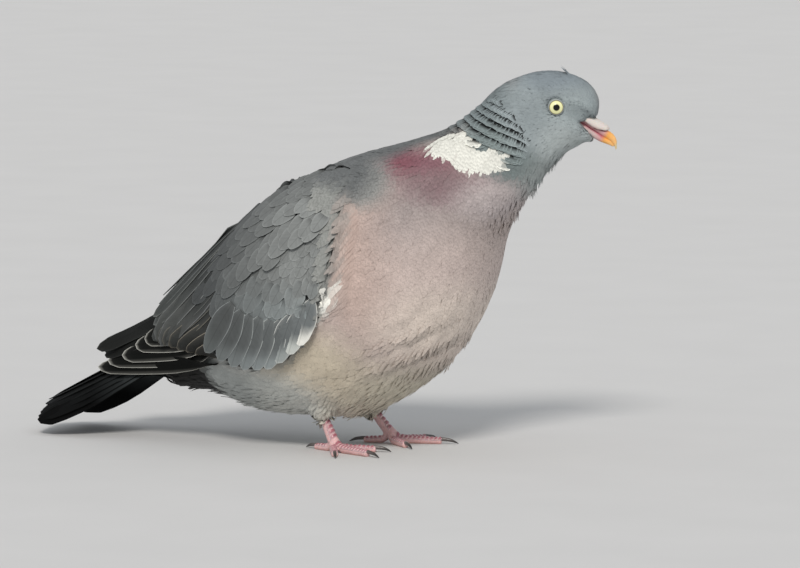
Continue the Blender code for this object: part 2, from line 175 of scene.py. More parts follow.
# %% Guides for the coat
GUIDES = {
    # place: (x, out, z), (points x, out, z), depth, length, width, spacing
    "brow": ((167, 4, 202), (-0.35, 0.25, 0.9), 0.5, 2.6, 1.1, 0.72),
    "forehead": ((163, 3, 214), (-0.7, 0.1, 0.7), 0.9, 3.8, 1.4, 0.85),
    "crown": ((145, 0, 224), (-1, 0, -0.02), 1.1, 5.2, 1.7, 0.98),
    "lores": ((160, 11, 197), (-0.95, 0.1, 0.1), 0.6, 2.6, 1.0, 0.68),
    "over the eye": ((146, 13, 212), (-0.95, 0, 0.05), 0.8, 3.6, 1.3, 0.82),
    "ear": ((136, 17, 202), (-0.95, 0, -0.3), 1.2, 5.0, 1.8, 0.98),
    "cheek": ((148, 14, 190), (-0.9, 0, -0.4), 1.0, 4.4, 1.5, 0.9),
    "chin": ((162, 3, 183), (-0.9, 0, -0.35), 1.0, 4.0, 1.4, 0.9),
    "throat": ((147, 0, 174), (-0.72, 0, -0.7), 1.8, 7.5, 2.2, 1.35),
    "nape": ((116, 0, 215), (-0.8, 0, -0.6), 1.6, 6.5, 2.2, 1.25),
    "back of the neck": ((100, 5, 200), (-0.75, 0.1, -0.65), 2.2, 9, 3.8, 1.9),
    "side of the neck": ((117, 27, 184), (-0.25, 0, -0.97), 2.4, 9, 5.0, 2.0),
    "front of the neck": ((138, 8, 164), (-0.3, 0.05, -0.95), 2.4, 9.5, 2.8, 1.55),
    "collar": ((100, 33, 172), (0.05, 0.1, -1), 2.6, 10, 4.4, 1.9),
    "crop": ((126, 0, 142), (-0.1, 0, -1), 2.8, 11, 3.4, 1.65),
    "shoulder": ((70, 42, 166), (-0.75, 0.15, -0.6), 2.6, 11, 3.8, 1.8),
    "side of the breast": ((80, 50, 132), (-0.35, 0.1, -0.93), 3.0, 12, 3.6, 1.65),
    "breast": ((115, 8, 110), (-0.15, 0, -0.98), 3.0, 12, 3.5, 1.65),
    "low breast": ((98, 10, 70), (-0.55, 0, -0.83), 3.4, 13, 3.6, 1.7),
    "bend of the wing": ((48, 57, 110), (-0.65, 0, -0.75), 2.4, 10, 3.6, 1.65),
    "flank": ((25, 55, 62), (-0.88, 0, -0.42), 3.6, 14, 4.2, 1.9),
    "belly": ((50, 15, 30), (-0.95, 0, -0.2), 4.2, 16, 3.8, 1.9),
    "side of the belly": ((62, 35, 50), (-0.82, 0, -0.5), 4.0, 14, 4.0, 1.8),
    "behind the legs": ((-5, 20, 28), (-0.97, 0, -0.05), 4.0, 16, 4.4, 2.0),
    "thigh": ((24, 25, 21), (-0.4, 0, -0.92), 2.0, 8, 2.6, 1.3),
    "vent": ((-50, 22, 40), (-1, 0, -0.05), 3.6, 17, 5.5, 2.4),
    "root of the tail": ((-95, 8, 42), (-0.97, 0, -0.2), 2.4, 24, 10, 3.6),
    "mantle": ((60, 10, 182), (-0.97, 0.05, -0.22), 2.6, 13, 8, 3.3),
    "back": ((10, 12, 168), (-0.93, 0.05, -0.36), 2.4, 15, 10.5, 4.4),
    "rump": ((-70, 15, 108), (-0.9, 0, -0.43), 2.6, 16, 10, 4.4),
}
guide_place = np.array([row[0] for row in GUIDES.values()], float)
guide_way = np.array([row[1] for row in GUIDES.values()], float)
guide_size = np.array([row[2:] for row in GUIDES.values()], float)


def shares_of(points, places):
    """How much each point takes from each place: the nearer, the more, and 1 in all."""
    near = 1 / (np.linalg.norm(points[:, None] - places[None], axis=2) + 2.0) ** 4
    return near / near.sum(1, keepdims=True)


def coat_at(points):
    """The lie of the coat, then its depth, length, width and spacing, then the straight points."""
    straight, angle = straighten(points)
    shares = shares_of(fold(straight), guide_place)
    way = shares @ guide_way
    way[:, 1] *= np.sign(straight[:, 1] + 1e-9)
    return turned(way, angle), shares @ guide_size, straight


# %% [markdown]
# ## Colours
# Plumage colours are named for the part of the bird. sRGB hex values are what a colour card
# shows, and a shader adds light in linear units, so one function turns the one into the other.

# %% Colour card
def linear(card):
    srgb = np.array([int(card[i : i + 2], 16) for i in (0, 2, 4)]) / 255
    return np.where(srgb <= 0.04045, srgb / 12.92, ((srgb + 0.055) / 1.055) ** 2.4)


def cards(*names):
    return [linear(name) for name in names]


def blend(first, second, share):
    """From the first colour to the second, with one share per point."""
    return first + (second - first) * np.clip(share, 0, 1)[:, None]


def bell(value, middle, spread):
    """1 at the middle, falling away on both sides: a soft line across a measure."""
    return np.exp(-((value - middle) ** 2) / spread)


# %% [markdown]
# ## Markings
# The skin and the coat share one set of markings. Each patch is a soft-edged egg on the straight
# bird: middle, half sizes, how wide its soft edge is as a share, and its colour. Later patches
# lie over earlier ones, so the order runs from the ground colour to the white of the neck. The
# near-black patch under the tail is painted shade over the grey there.

# %% Markings of the body
GROUND = linear("b8aaa4")
PATCHES = [
    # middle (x, out, z), half sizes, softness, colour
    ((-85, 0, 95), (80, 80, 62), 0.15, "5a5d5d"),  # everything behind the breast
    ((12, 28, 148), (36, 32, 30), 0.2, "5c5f60"),  # under the scapulars
    ((58, 56, 118), (26, 30, 48), 0.5, "b9a49b"),  # peach sides of the breast
    ((100, 45, 140), (40, 40, 30), 0.6, "9b918f"),  # grey pink upper breast
    ((100, 30, 100), (40, 45, 34), 0.6, "c0b1ab"),
    ((100, 30, 72), (40, 45, 26), 0.6, "dacdc2"),  # low breast
    ((84, 38, 170), (28, 26, 9), 0.8, "7f5a62"),  # wine red above the breast
    ((64, 34, 173), (14, 20, 8), 0.8, "7d4a55"),
    ((103, 38, 158), (28, 26, 9), 0.8, "7f6a6d"),
    ((122, 18, 152), (20, 28, 12), 0.6, "b5abaa"),  # dull wine under the collar
    ((45, 10, 30), (50, 60, 26), 0.5, "c6bfae"),  # cream belly
    ((15, 50, 52), (34, 30, 22), 0.5, "c4b9a6"),  # cream thighs
    ((-22, 20, 30), (44, 60, 24), 0.4, "bcbeb9"),  # grey flank
    ((-60, 20, 36), (42, 60, 20), 0.4, "9da19f"),  # grey under the tail
    # near black under the tail: painted shade of the shadowed underside, over its grey
    ((-98, 0, 34), (46, 110, 32), 0.14, "100f0e"),
    ((10, 0, 190), (78, 48, 34), 0.25, "5c5f60"),  # back
    ((42, 0, 172), (56, 26, 30), 0.3, "5c5f60"),
    ((85, 0, 192), (24, 24, 16), 0.4, "646a6b"),
    ((-60, 0, 140), (75, 60, 55), 0.25, "444849"),
    ((72, 0, 196), (30, 44, 14), 0.4, "515353"),  # mantle
    ((50, 38, 158), (17, 24, 14), 0.5, "868785"),  # grey shoulder
    ((20, 30, 160), (34, 30, 20), 0.3, "636667"),
    ((129, 0, 186), (31, 60, 27), 0.15, "727c7c"),  # neck
    ((104, 0, 207), (22, 40, 18), 0.3, "6a7375"),  # nape
    ((146, 0, 202), (31, 60, 29), 0.25, "8c9598"),  # head
    ((146, 0, 221), (20, 30, 9), 0.6, "7f898f"),  # crown
    ((158, 14, 200), (12, 10, 12), 0.8, "9aa4a6"),  # brow and lores
    ((150, 12, 184), (16, 14, 11), 0.7, "a4acad"),  # cheek
    ((155, 0, 178), (18, 30, 10), 0.5, "b0b8b8"),  # chin
    ((138, 0, 163), (14, 20, 12), 0.6, "9aa1a0"),  # throat
    ((95, 30, 180.5), (12.5, 16, 8), 0.06, "dcdcd4"),  # white collar
    ((112, 31, 172.5), (12, 16, 6.8), 0.06, "dcdcd4"),
]
# The front edge of the folded wing, z and x from its lowest point up.
EDGE_Z = (50, 56.9, 66.5, 75.6, 84.8, 99.6, 108.3, 119.4, 136.8, 150.7, 165)
EDGE_X = (0, 8, 19, 23.1, 31.8, 38.2, 39.2, 41, 43, 39.5, 34)
WING_FRONT, WHITE_BAR = linear("8d8f8c"), linear("efefe8")


def behind_edge(folded):
    """How far behind the front edge of the wing a point on the folded straight bird is."""
    return np.interp(folded[:, 2], EDGE_Z, EDGE_X) - folded[:, 0]


def markings(straight):
    """The colour of the coat at each point of the straight bird."""
    folded = fold(straight)
    tone = np.tile(GROUND, (len(folded), 1))
    for middle, half, softness, card in PATCHES:
        out = np.linalg.norm((folded - middle) / half, axis=1)
        tone = blend(tone, linear(card), eased(ramp(out, 1 + softness, 1 - softness)))
    behind, z = behind_edge(folded), folded[:, 2]
    beside = ramp(folded[:, 1], 28, 34) * ramp(z, 160, 152) * ramp(z, 50, 56)
    soft_edge = np.interp(z, (70, 130), (3, 9))
    tone = blend(tone, WING_FRONT, np.clip((behind + 1.5) / soft_edge, 0, 1) * beside)
    width = np.interp(z, (70, 85, 100), (4, 3.5, 2))
    bar = np.clip(1.3 - np.abs(behind - width + 1.5) / width, 0, 1) * ramp(z, 103, 99) * ramp(z, 68, 73)
    return blend(tone, WHITE_BAR, bar * beside)


# %% [markdown]
# ## One small helper for materials
# Every finish is a node tree. This adds one node, sets it up and wires it in one call.

# %% Add a node
def add(material, kind, inputs=None, **settings):
    node = material.node_tree.nodes.new(kind)
    for name, value in settings.items():
        setattr(node, name, value)
    for name, value in (inputs or {}).items():
        if isinstance(value, bpy.types.NodeSocket):
            material.node_tree.links.new(value, node.inputs[name])
        else:
            node.inputs[name].default_value = value
    return node


def blank(name):
    """An empty node material and its output."""
    material = bpy.data.materials.new(name)
    material.use_nodes = True
    material.node_tree.nodes.clear()
    return material, add(material, "ShaderNodeOutputMaterial")


def finish_with(material, output, shader):
    material.node_tree.links.new(shader.outputs[0], output.inputs["Surface"])


# %% [markdown]
# ## Feather
# A vane is keratin barbs hooked together, lying slantwise off the shaft like a closed blind. It
# is dull with a slight sheen across the barbs. The "vane" map holds millimetres off the shaft
# and along it, so that the barbs slant the same way on every feather. Real barbs sit about 0.3 mm
# apart, too fine to show, so they are drawn in locks 0.8 mm wide.

# %% Feather material
BARB_LOCK, BARB_DEPTH, BLOTCH = 0.8, 0.15, 9  # millimetres
KERATIN_IOR = 1.55


def feather(name, roughness, sheen, gloss, streak, shaft):
    """streak is how much the barbs vary in tone, and shaft draws the dark line of the quill."""
    material, output = blank(name)
    tone = add(material, "ShaderNodeVertexColor", layer_name="tone").outputs["Color"]
    vane = add(material, "ShaderNodeUVMap", uv_map="vane").outputs["UV"]
    place = add(material, "ShaderNodeNewGeometry").outputs["Position"]

    # Barbs leave the shaft at a slant, so their pattern slides back with the way off the shaft.
    parts = add(material, "ShaderNodeSeparateXYZ", {"Vector": vane})
    off = add(material, "ShaderNodeMath", {0: parts.outputs["X"]}, operation="ABSOLUTE")
    slant = add(
        material, "ShaderNodeMath", {0: off.outputs[0], 1: -0.9, 2: parts.outputs["Y"]}, operation="MULTIPLY_ADD"
    )
    lock = add(material, "ShaderNodeCombineXYZ", {"X": slant.outputs[0], "Y": off.outputs[0]})
    fine = add(
        material, "ShaderNodeVectorMath", {0: lock.outputs[0], 1: (1 / BARB_LOCK, 0.12, 1)}, operation="MULTIPLY"
    )
    own = add(material, "ShaderNodeVectorMath", {0: fine.outputs[0], 1: place}, operation="ADD")
    barbs = add(
        material, "ShaderNodeTexNoise", {"Vector": own.outputs[0], "Scale": 1.0, "Detail": 3.0, "Roughness": 0.6}
    )
    light = add(
        material, "ShaderNodeMapRange",
        {"Value": barbs.outputs["Fac"], "From Min": 0.3, "From Max": 0.7, "To Min": 1 - streak, "To Max": 1 + streak},
    )

    # Wear and dust make the whole coat a little uneven.
    blotch = add(material, "ShaderNodeTexNoise", {"Vector": place, "Scale": 1 / (BLOTCH * MM), "Detail": 2.0})
    patchy = add(
        material, "ShaderNodeMapRange",
        {"Value": blotch.outputs["Fac"], "From Min": 0.35, "From Max": 0.65, "To Min": 0.95, "To Max": 1.05},
    )
    both = add(material, "ShaderNodeMath", {0: light.outputs[0], 1: patchy.outputs[0]}, operation="MULTIPLY")
    if shaft:
        quill = add(
            material, "ShaderNodeMapRange",
            {"Value": off.outputs[0], "From Min": 0.12, "From Max": 0.4, "To Min": 0.8, "To Max": 1.0},
        )
        both = add(material, "ShaderNodeMath", {0: both.outputs[0], 1: quill.outputs[0]}, operation="MULTIPLY")
    shade = add(material, "ShaderNodeVectorMath", {0: tone, "Scale": both.outputs[0]}, operation="SCALE")
    bump = add(
        material, "ShaderNodeBump", {"Height": barbs.outputs["Fac"], "Strength": 0.35, "Distance": BARB_DEPTH * MM}
    )
    shader = add(
        material, "ShaderNodeBsdfPrincipled",
        {"Base Color": shade.outputs[0], "Roughness": roughness, "Sheen Weight": sheen, "Sheen Roughness": 0.5,
         "Specular IOR Level": gloss, "IOR": KERATIN_IOR, "Normal": bump.outputs[0]},
    )
    finish_with(material, output, shader)
    return material


down_feather = feather("keratin_barbs_soft_body_feather", 0.85, 0.10, 0.2, 0.16, False)
face_feather = feather("keratin_barbs_short_face_feather", 0.8, 0.10, 0.2, 0.14, False)
covert_feather = feather("keratin_barbs_smooth_wing_covert", 0.7, 0.05, 0.25, 0.07, True)
quill_feather = feather("keratin_barbs_stiff_flight_quill", 0.6, 0.0, 0.05, 0.08, True)

# %% [markdown]
# ## The skin
# Under the feathers is one skin. The CAD parts of flesh are joined, remeshed in small voxels so
# that no seam is left between them, relaxed, and sunk by the depth of the coat. Sculpting it
# afresh would risk leaving the frame, and this way it can't.

# %% Take CAD parts as meshes
def cad_mesh(names):
    bm = bmesh.new()
    for name in names:
        bm.from_mesh(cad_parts[name].data)
    bmesh.ops.remove_doubles(bm, verts=bm.verts, dist=1e-6)
    return bm


def link(name, mesh):
    obj = bpy.data.objects.new(name, mesh)
    bpy.context.scene.collection.objects.link(obj)
    return obj


def remeshed(names, voxel, rounds):
    """The named CAD parts as one closed surface, without the bubbles left in the gaps."""
    bm = cad_mesh(names)
    mesh = bpy.data.meshes.new("flesh")
    bm.to_mesh(mesh)
    obj = link("flesh", mesh)
    remesh = obj.modifiers.new("voxels", "REMESH")
    remesh.mode, remesh.voxel_size = "VOXEL", voxel * MM
    relax = obj.modifiers.new("relax", "SMOOTH")
    relax.factor, relax.iterations = 0.5, rounds
    made = bpy.data.meshes.new_from_object(obj.evaluated_get(bpy.context.evaluated_depsgraph_get()))
    bpy.data.objects.remove(obj)
    bm.clear()
    bm.from_mesh(made)
    shells, seen = [], set()
    for start in bm.verts:
        if start.index in seen:
            continue
        shell, todo = [], [start]
        seen.add(start.index)
        while todo:
            vert = todo.pop()
            shell.append(vert)
            for edge in vert.link_edges:
                other = edge.other_vert(vert)
                if other.index not in seen:
                    seen.add(other.index)
                    todo.append(other)
        shells.append(shell)
    shells.sort(key=len)
    bmesh.ops.delete(bm, geom=[v for shell in shells[:-1] for v in shell], context="VERTS")
    return bm


FLESH = ["trunk", "neck", "head", "wing_right", "wing_left", "thigh_right", "thigh_left"]
flesh = remeshed(FLESH, 1.8, 6)
print("flesh", len(flesh.verts), "points")


# %% [markdown]
# How far each point sinks follows the guides, and never more than a third of the way through
# the flesh there, so that the thin rear of the folded wing keeps two sides.

# %% Sink the skin
THICKER_THAN_ANY = 60.0
SOCKET, SOCKET_SOFT = 4.5, 4  # the skin doesn't sink within this of an eye's middle


def arrays(bm):
    bm.verts.ensure_lookup_table()
    co = np.array([v.co for v in bm.verts]) / MM
    normal = np.array([v.normal for v in bm.verts])
    return co, normal


flesh.normal_update()
flesh_co, flesh_normal = arrays(flesh)
flesh_tree = BVHTree.FromBMesh(flesh)
through = np.full(len(flesh_co), THICKER_THAN_ANY)
for i, (co, normal) in enumerate(zip(flesh_co, flesh_normal)):
    hit = flesh_tree.ray_cast(Vector((co - normal * 0.2) * MM), Vector(-normal))
    if hit[0] is not None:
        through[i] = hit[3] / MM
depth = np.minimum(coat_at(flesh_co)[1][:, 0], through * 0.33)
for eye in (eye_right, eye_left):
    depth *= np.clip((np.linalg.norm(flesh_co - eye, axis=1) - SOCKET) / SOCKET_SOFT, 0.15, 1)
for vert, co in zip(flesh.verts, flesh_co - flesh_normal * depth[:, None]):
    vert.co = co * MM
bmesh.ops.smooth_vert(flesh, verts=flesh.verts, factor=0.5, use_axis_x=True, use_axis_y=True, use_axis_z=True)

# %% [markdown]
# The face narrows to the corners of the mouth. A bare wedge of the bill's base opens from there,
# and the feathers of forehead and chin come further forward above and below it.

# %% Shape the face
flesh_co, _ = arrays(flesh)
along, up, out = bill_axes(flesh_co)
round_bill = np.exp(-(np.abs(up - 1.8) / 5.2) ** 5) * ramp(along, -19, -14)
half = 4.8 + 0.6 * np.clip(-along, 0, 19)
squeeze = -np.sign(out) * np.maximum(np.abs(out) - half, 0) * round_bill * 0.9
brow_line = 0.3 + np.where(along > -1, 1.3, 0.3) * (along + 1)
chin_line = -1.75 - 0.22 * (along + 4)
wedge = ramp(up, brow_line + 0.5, brow_line - 0.5) * ramp(up, chin_line - 0.5, chin_line + 0.5) * ramp(along, -6, -3)
chin = 3.8 * bell(up, -5.6, 2.6**2) * ramp(along, -8, 0) * ramp(np.abs(out), 9, 5)
forward = chin * (1 - wedge) - np.maximum(along + 4.5, 0) * wedge * 0.95
for vert, move in zip(flesh.verts, from_bill_axes(forward, 0 * forward, squeeze)):
    vert.co += Vector(move * MM)
print("face narrowed by", np.abs(squeeze).max().round(1), "and moved by", np.abs(forward).max().round(1), "mm")
bmesh.ops.triangulate(flesh, faces=flesh.faces)
skin_mesh = bpy.data.meshes.new("skin")
flesh.normal_update()
flesh.to_mesh(skin_mesh)
print("skin sinks", depth.min().round(2), "to", depth.max().round(2), "mm")

# %% [markdown]
# The skin is unwrapped once by its own shape. Every feather later takes a tiny patch of that map
# at the place of its root.

# %% Unwrap the skin
skin = link("skin", skin_mesh)
skin_mesh.uv_layers.new(name="OFBake")
bpy.context.view_layer.objects.active = skin
skin.select_set(True)
bpy.ops.object.mode_set(mode="EDIT")
bpy.ops.mesh.select_all(action="SELECT")
bpy.ops.uv.smart_project(angle_limit=math.radians(66), island_margin=0.004)
bpy.ops.object.mode_set(mode="OBJECT")
skin.select_set(False)
skin_co = np.array([v.co for v in skin_mesh.vertices]) / MM
skin_normal = np.array([v.normal for v in skin_mesh.vertices])
skin_face = np.array([p.vertices[:] for p in skin_mesh.polygons])
skin_uv = np.zeros(len(skin_mesh.loops) * 2)
skin_mesh.uv_layers["OFBake"].data.foreach_get("uv", skin_uv)
skin_uv = skin_uv.reshape(-1, 3, 2)
skin_tree = BVHTree.FromPolygons([Vector(c) for c in skin_co], [tuple(f) for f in skin_face])
print("skin", len(skin_face), "triangles")


def on_skin(points):
    """Nearest places on the skin: point, smooth normal and place on the unwrap."""
    at = np.zeros((len(points), 3))
    face = np.zeros(len(points), int)
    for i, point in enumerate(points):
        hit = skin_tree.find_nearest(Vector(point))
        at[i], face[i] = hit[0], hit[2]
    a, b, c = (skin_co[skin_face[face, k]] for k in range(3))
    whole = np.cross(b - a, c - a)
    area = np.maximum((whole**2).sum(1), 1e-12)
    u = (np.cross(c - b, at - b) * whole).sum(1) / area
    v = (np.cross(a - c, at - c) * whole).sum(1) / area
    share = np.clip(np.stack([u, v, 1 - u - v], 1), 0, 1)
    share /= share.sum(1, keepdims=True)
    normal = (skin_normal[skin_face[face]] * share[:, :, None]).sum(1)
    normal /= np.maximum(np.linalg.norm(normal, axis=1, keepdims=True), 1e-9)
    return at, normal, (skin_uv[face] * share[:, :, None]).sum(1)


# %% [markdown]
# ## Where the feathers are rooted
# A bird's feathers sit in even rows. Points are scattered over the skin, more where the guides
# ask for closer spacing, and then each kept point clears its neighbours, which leaves an even
# spread without the lines of a grid.

# %% Scatter the roots
CLEAR = 0.86  # how near two roots may come, as a share of their spacing
TRIES = 4  # points tried for each root wanted


def thinned(points, reach):
    tree = KDTree(len(points))
    for i, point in enumerate(points):
        tree.insert(point, i)
    tree.balance()
    open_still, kept = np.ones(len(points), bool), []
    for i, point in enumerate(points):
        if open_still[i]:
            kept.append(i)
            for _, j, _ in tree.find_range(point, reach[i]):
                open_still[j] = False
    return np.array(kept)


def scatter():
    a, b, c = (skin_co[skin_face[:, k]] for k in range(3))
    area = np.linalg.norm(np.cross(b - a, c - a), axis=1) / 2
    spacing = coat_at((a + b + c) / 3)[1][:, 3]
    tries = draw.poisson(area / (spacing**2 * CLEAR) * TRIES)
    face = np.repeat(np.arange(len(skin_face)), tries)
    u, v = draw.random(len(face)), draw.random(len(face))
    flip = u + v > 1
    u[flip], v[flip] = 1 - u[flip], 1 - v[flip]
    points = a[face] + (b - a)[face] * u[:, None] + (c - a)[face] * v[:, None]
    order = draw.permutation(len(points))
    points, reach = points[order], (spacing[face] * CLEAR)[order]
    return points[thinned(points, reach)]


# %% [markdown]
# ## From a root to a vane
# Each feather starts at its root and walks along the skin in short steps, turning with the
# guides, and its tip rises through the depth of the coat to where the CAD body ends.

# %% Walk a feather over the skin
def walk(roots, length, steps=4, wander=0.1, lie=None, cling=2.0):
    """Spines as points and normals, steps + 1 each, and the roots' places on the unwrap."""
    lie = lie or (lambda points, normals: coat_at(points)[0])
    at, normal, patch = on_skin(roots)
    spine, normals = [at], [normal]
    sway = draw.normal(0, wander, (len(roots), 1))
    for _ in range(steps):
        ahead = lie(at, normal)
        ahead = unit(ahead - normal * (ahead * normal).sum(1, keepdims=True))
        ahead = unit(ahead + np.cross(normal, ahead) * sway)
        to = at + ahead * (length / steps)[:, None]
        near, near_normal, _ = on_skin(to)
        at = to + normal * np.maximum(((near - to) * normal).sum(1, keepdims=True), -cling)
        normal = unit(normal + near_normal)
        spine.append(at)
        normals.append(normal)
    return np.stack(spine, 1), np.stack(normals, 1), patch


# %% [markdown]
# ## The vane
# One small grid does for every feather: narrow at the quill, full in the middle, and cut to a
# round tip by shortening its outer columns. Ragged tips come from shortening single columns at
# random. The long stiff feathers are closed below with a thickness. All the others, from the small
# coverts of the wing to the face, are open sheets.

# %% Kinds of vane
# t runs along the shaft and a across the vane. round, ragged and camber shape its rim, climb and
# dip its rise, dark is how far the hidden base reaches, and edge and rim draw the edge's colour.
SOFT = {
    "t": np.array([0, 0.3, 0.58, 0.82, 1]), "a": np.linspace(-1, 1, 6), "round": 0.34, "ragged": 0.16,
    "camber": 0.10, "edge": 0.5, "rim": (30, 120), "climb": 0.24, "dark": 0.2, "dip": 0.10,
}
SHORT = {
    "t": np.linspace(0, 1, 4), "a": np.linspace(-1, 1, 5), "round": 0.45, "ragged": 0.2,
    "camber": 0.1, "edge": 0.3, "rim": (30, 120), "climb": 0.28, "dark": 0.2, "dip": 0.07,
}
COVERT = {
    "t": np.array([0, 0.2, 0.42, 0.62, 0.8, 0.91, 0.97, 1]),
    "a": np.array([-1, -0.93, -0.7, -0.35, 0, 0.35, 0.7, 0.93, 1]), "round": 0.28, "ragged": 0.015,
    "camber": 0.08, "edge": 1.0, "rim": (14, 40), "climb": 0.4, "dark": 0.3, "dip": 0,
}
QUILL = {
    "t": np.array([0, 0.12, 0.26, 0.4, 0.54, 0.68, 0.8, 0.9, 0.96, 0.988, 1]),
    "a": np.array([-1, -0.92, -0.55, -0.06, 0, 0.06, 0.55, 0.92, 1]), "round": 0.11, "ragged": 0.004,
    "camber": 0.06, "edge": 1.0, "rim": (30, 120), "climb": 1.0, "dark": 0.5, "dip": 0, "thick": 0.3,
}
# The neck's rows: a long dark base that is painted shade in the furrows, and a pale rim that is a painted highlight
# along the tips.
ROW_VANE = dict(
    COVERT, t=np.array([0, 0.3, 0.55, 0.68, 0.8, 0.9, 1]), a=np.linspace(-1, 1, 9), round=0.06, ragged=0.06,
    camber=0.06, edge=0.8, rim=(30, 120), climb=1.1, dark=0.68,
)


def outline(shape, width):
    """How far along its feather each point of a vane lies, and how many millimetres off the shaft."""
    t, a = shape["t"], shape["a"]
    shorter = shape["round"] * np.abs(a) ** 2.4
    torn = draw.random((len(width), len(a))) * shape["ragged"]
    along = t[None, :, None] * (1 - shorter[None, None, :]) - torn[:, None, :] * (t[None, :, None] ** 4)
    breadth = 0.35 + 0.65 * np.sin(np.clip(t / 0.5, 0, 1) * math.pi / 2)
    breadth = breadth * (1 - 0.2 * np.clip((t - 0.55) / 0.45, 0, 1) ** 1.5)
    return np.clip(along, 0, 1), a[None, None, :] * breadth[None, :, None] * (width / 2)[:, None, None]


def vane_tones(shape, tones, hand):
    """Base, vane and edge colours, one row per feather, spread over its grid."""
    t, a = shape["t"], shape["a"]
    reach = np.abs(a) if hand == 0 else np.clip(a * hand, 0, 1)
    at_side, at_tip = shape["rim"]
    rim = np.clip((reach[None, :] ** at_side) + t[:, None] ** at_tip, 0, 1) * shape["edge"]
    base_share = np.clip((shape["dark"] - t) / 0.25 + 0.5, 0, 1)[None, :, None, None]
    base, vane, edge = (rows[:, None, None, :] for rows in tones)
    tone = vane + (base - vane) * base_share
    return tone + (edge - tone) * rim[None, :, :, None]


def sheet_faces(rows, columns, closed):
    """The faces of a grid of points and, where it is closed, of the same grid again as its underside."""
    grid = np.arange(rows * columns).reshape(rows, columns)
    quad = np.stack([grid[:-1, :-1], grid[1:, :-1], grid[1:, 1:], grid[:-1, 1:]], 2).reshape(-1, 4)
    if not closed:
        return quad
    rim = np.concatenate([grid[0, :-1], grid[:-1, -1], grid[-1, :0:-1], grid[:0:-1, 0]])
    after, under = np.roll(rim, -1), rows * columns
    wall = np.stack([rim, after, after + under, rim + under], 1)
    return np.concatenate([quad, quad[:, ::-1] + under, wall])


# %% [markdown]
# A finished piece needs the same three things whatever it is: its colours, a finish, and a place
# under the body that carries it, with the CAD parts it stands for hidden.

# %% Paint and hand over
def paint(mesh, tones):
    """One colour per point, read by the materials."""
    colour = mesh.color_attributes.new(name="tone", type="FLOAT_COLOR", domain="POINT")
    colour.data.foreach_set("color", np.concatenate([tones, np.ones((len(tones), 1))], 1).ravel())


def hand_over(obj, finish, nodes):
    obj.data.materials.append(finish)
    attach(obj, "root")
    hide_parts(*nodes)


def quad_mesh(name, points, faces):
    mesh = bpy.data.meshes.new(name)
    mesh.vertices.add(len(points))
    mesh.vertices.foreach_set("co", (points * MM).ravel())
    mesh.loops.add(faces.size)
    mesh.loops.foreach_set("vertex_index", faces.ravel())
    mesh.polygons.add(len(faces))
    mesh.polygons.foreach_set("loop_start", np.arange(0, faces.size, 4))
    mesh.polygons.foreach_set("use_smooth", np.ones(len(faces), bool))
    mesh.update(calc_edges=True)
    return mesh


# %% [markdown]
# A spine gives each vane its run and its normals. Points are set off to the sides of the spine
# and raised from it, and all feathers of one kind are one mesh, because thousands of objects
# would be slow. Normals lean towards the skin's own, which softens the look of each small sheet.

# %% Weave many vanes into one mesh
TUFT_PATCH = 0.003  # how much of the unwrap each feather takes
QUILL_RIDGE = 0.12


def weave(name, spine, normals, patch, width, tones, rise, shape, finish, covers, soft=0.6, hand=0, curl=0.0):
    """tones is base, vane and edge colours, one row per feather, and rise the height of root and tip.
    hand is the side that an edge colour keeps to, and 0 for both. curl lifts the tip alone."""
    count, a = len(spine), shape["a"]
    along, off = outline(shape, width)
    last = spine.shape[1] - 1
    at = np.clip((along * last).astype(int), 0, last - 1)
    part = (along * last - at)[..., None]
    pick = np.arange(count)[:, None, None]
    point = spine[pick, at] * (1 - part) + spine[pick, at + 1] * part
    up = unit(normals[pick, at] * (1 - part) + normals[pick, at + 1] * part)
    side = unit(np.cross(up, unit(spine[pick, at + 1] - spine[pick, at])))
    low, high = (np.asarray(ends)[:, None, None] for ends in rise)
    height = low + (high - low) * along ** shape["climb"] - shape["dip"] * high * along**5
    height = height + np.broadcast_to(curl, count)[:, None, None] * along**3
    height = height - shape["camber"] * (a**2)[None, None, :] * (width / 2)[:, None, None] * 0.5
    point = point + side * off[..., None] + up * height[..., None]
    tone = vane_tones(shape, tones, hand)
    long = np.linalg.norm(np.diff(spine, axis=1), axis=2).sum(1)
    vane_map = np.stack([off, along * long[:, None, None]], 3)
    bake = patch[:, None, None, :] + TUFT_PATCH * np.stack([0.5 * a[None, None, :] + 0 * along, along - 0.5], 3)
    closed = "thick" in shape
    if closed:
        ridge = np.where(np.abs(a) < 0.1, QUILL_RIDGE, 0)[None, None, :, None]
        pairs = ((point + up * ridge, point - up * shape["thick"]), (tone, tone), (vane_map, vane_map),
                 (bake, bake), (up, -up))
        point, tone, vane_map, bake, up = (np.concatenate(pair, 1) for pair in pairs)
    first = np.arange(count) * point.shape[1] * point.shape[2]
    faces = (sheet_faces(len(shape["t"]), len(a), closed)[None] + first[:, None, None]).reshape(-1, 4)
    mesh = quad_mesh(name, point.reshape(-1, 3), faces)
    for map_name, values in (("OFBake", bake), ("vane", vane_map)):
        layer = mesh.uv_layers.new(name=map_name)
        layer.data.foreach_set("uv", values.reshape(-1, 2)[faces.ravel()].ravel())
    paint(mesh, tone.reshape(-1, 3))
    facing = np.zeros(len(mesh.vertices) * 3)
    mesh.vertices.foreach_get("normal", facing)
    mesh.normals_split_custom_set_from_vertices(unit(facing.reshape(-1, 3) * (1 - soft) + up.reshape(-1, 3) * soft))
    hand_over(link(name, mesh), finish, covers)
    print(f"{name}: {count} feathers, {2 * len(faces)} triangles")


# %% [markdown]
# ## Which part a root belongs to
# The nearest CAD part names the region, so the wing's own feathers and the body's are told apart
# by the frame and not by a guess.

# %% Sort the roots by CAD part
def tree_of(names):
    bm = cad_mesh(names)
    bmesh.ops.scale(bm, vec=(1 / MM,) * 3, verts=bm.verts)
    bm.normal_update()
    return BVHTree.FromBMesh(bm)


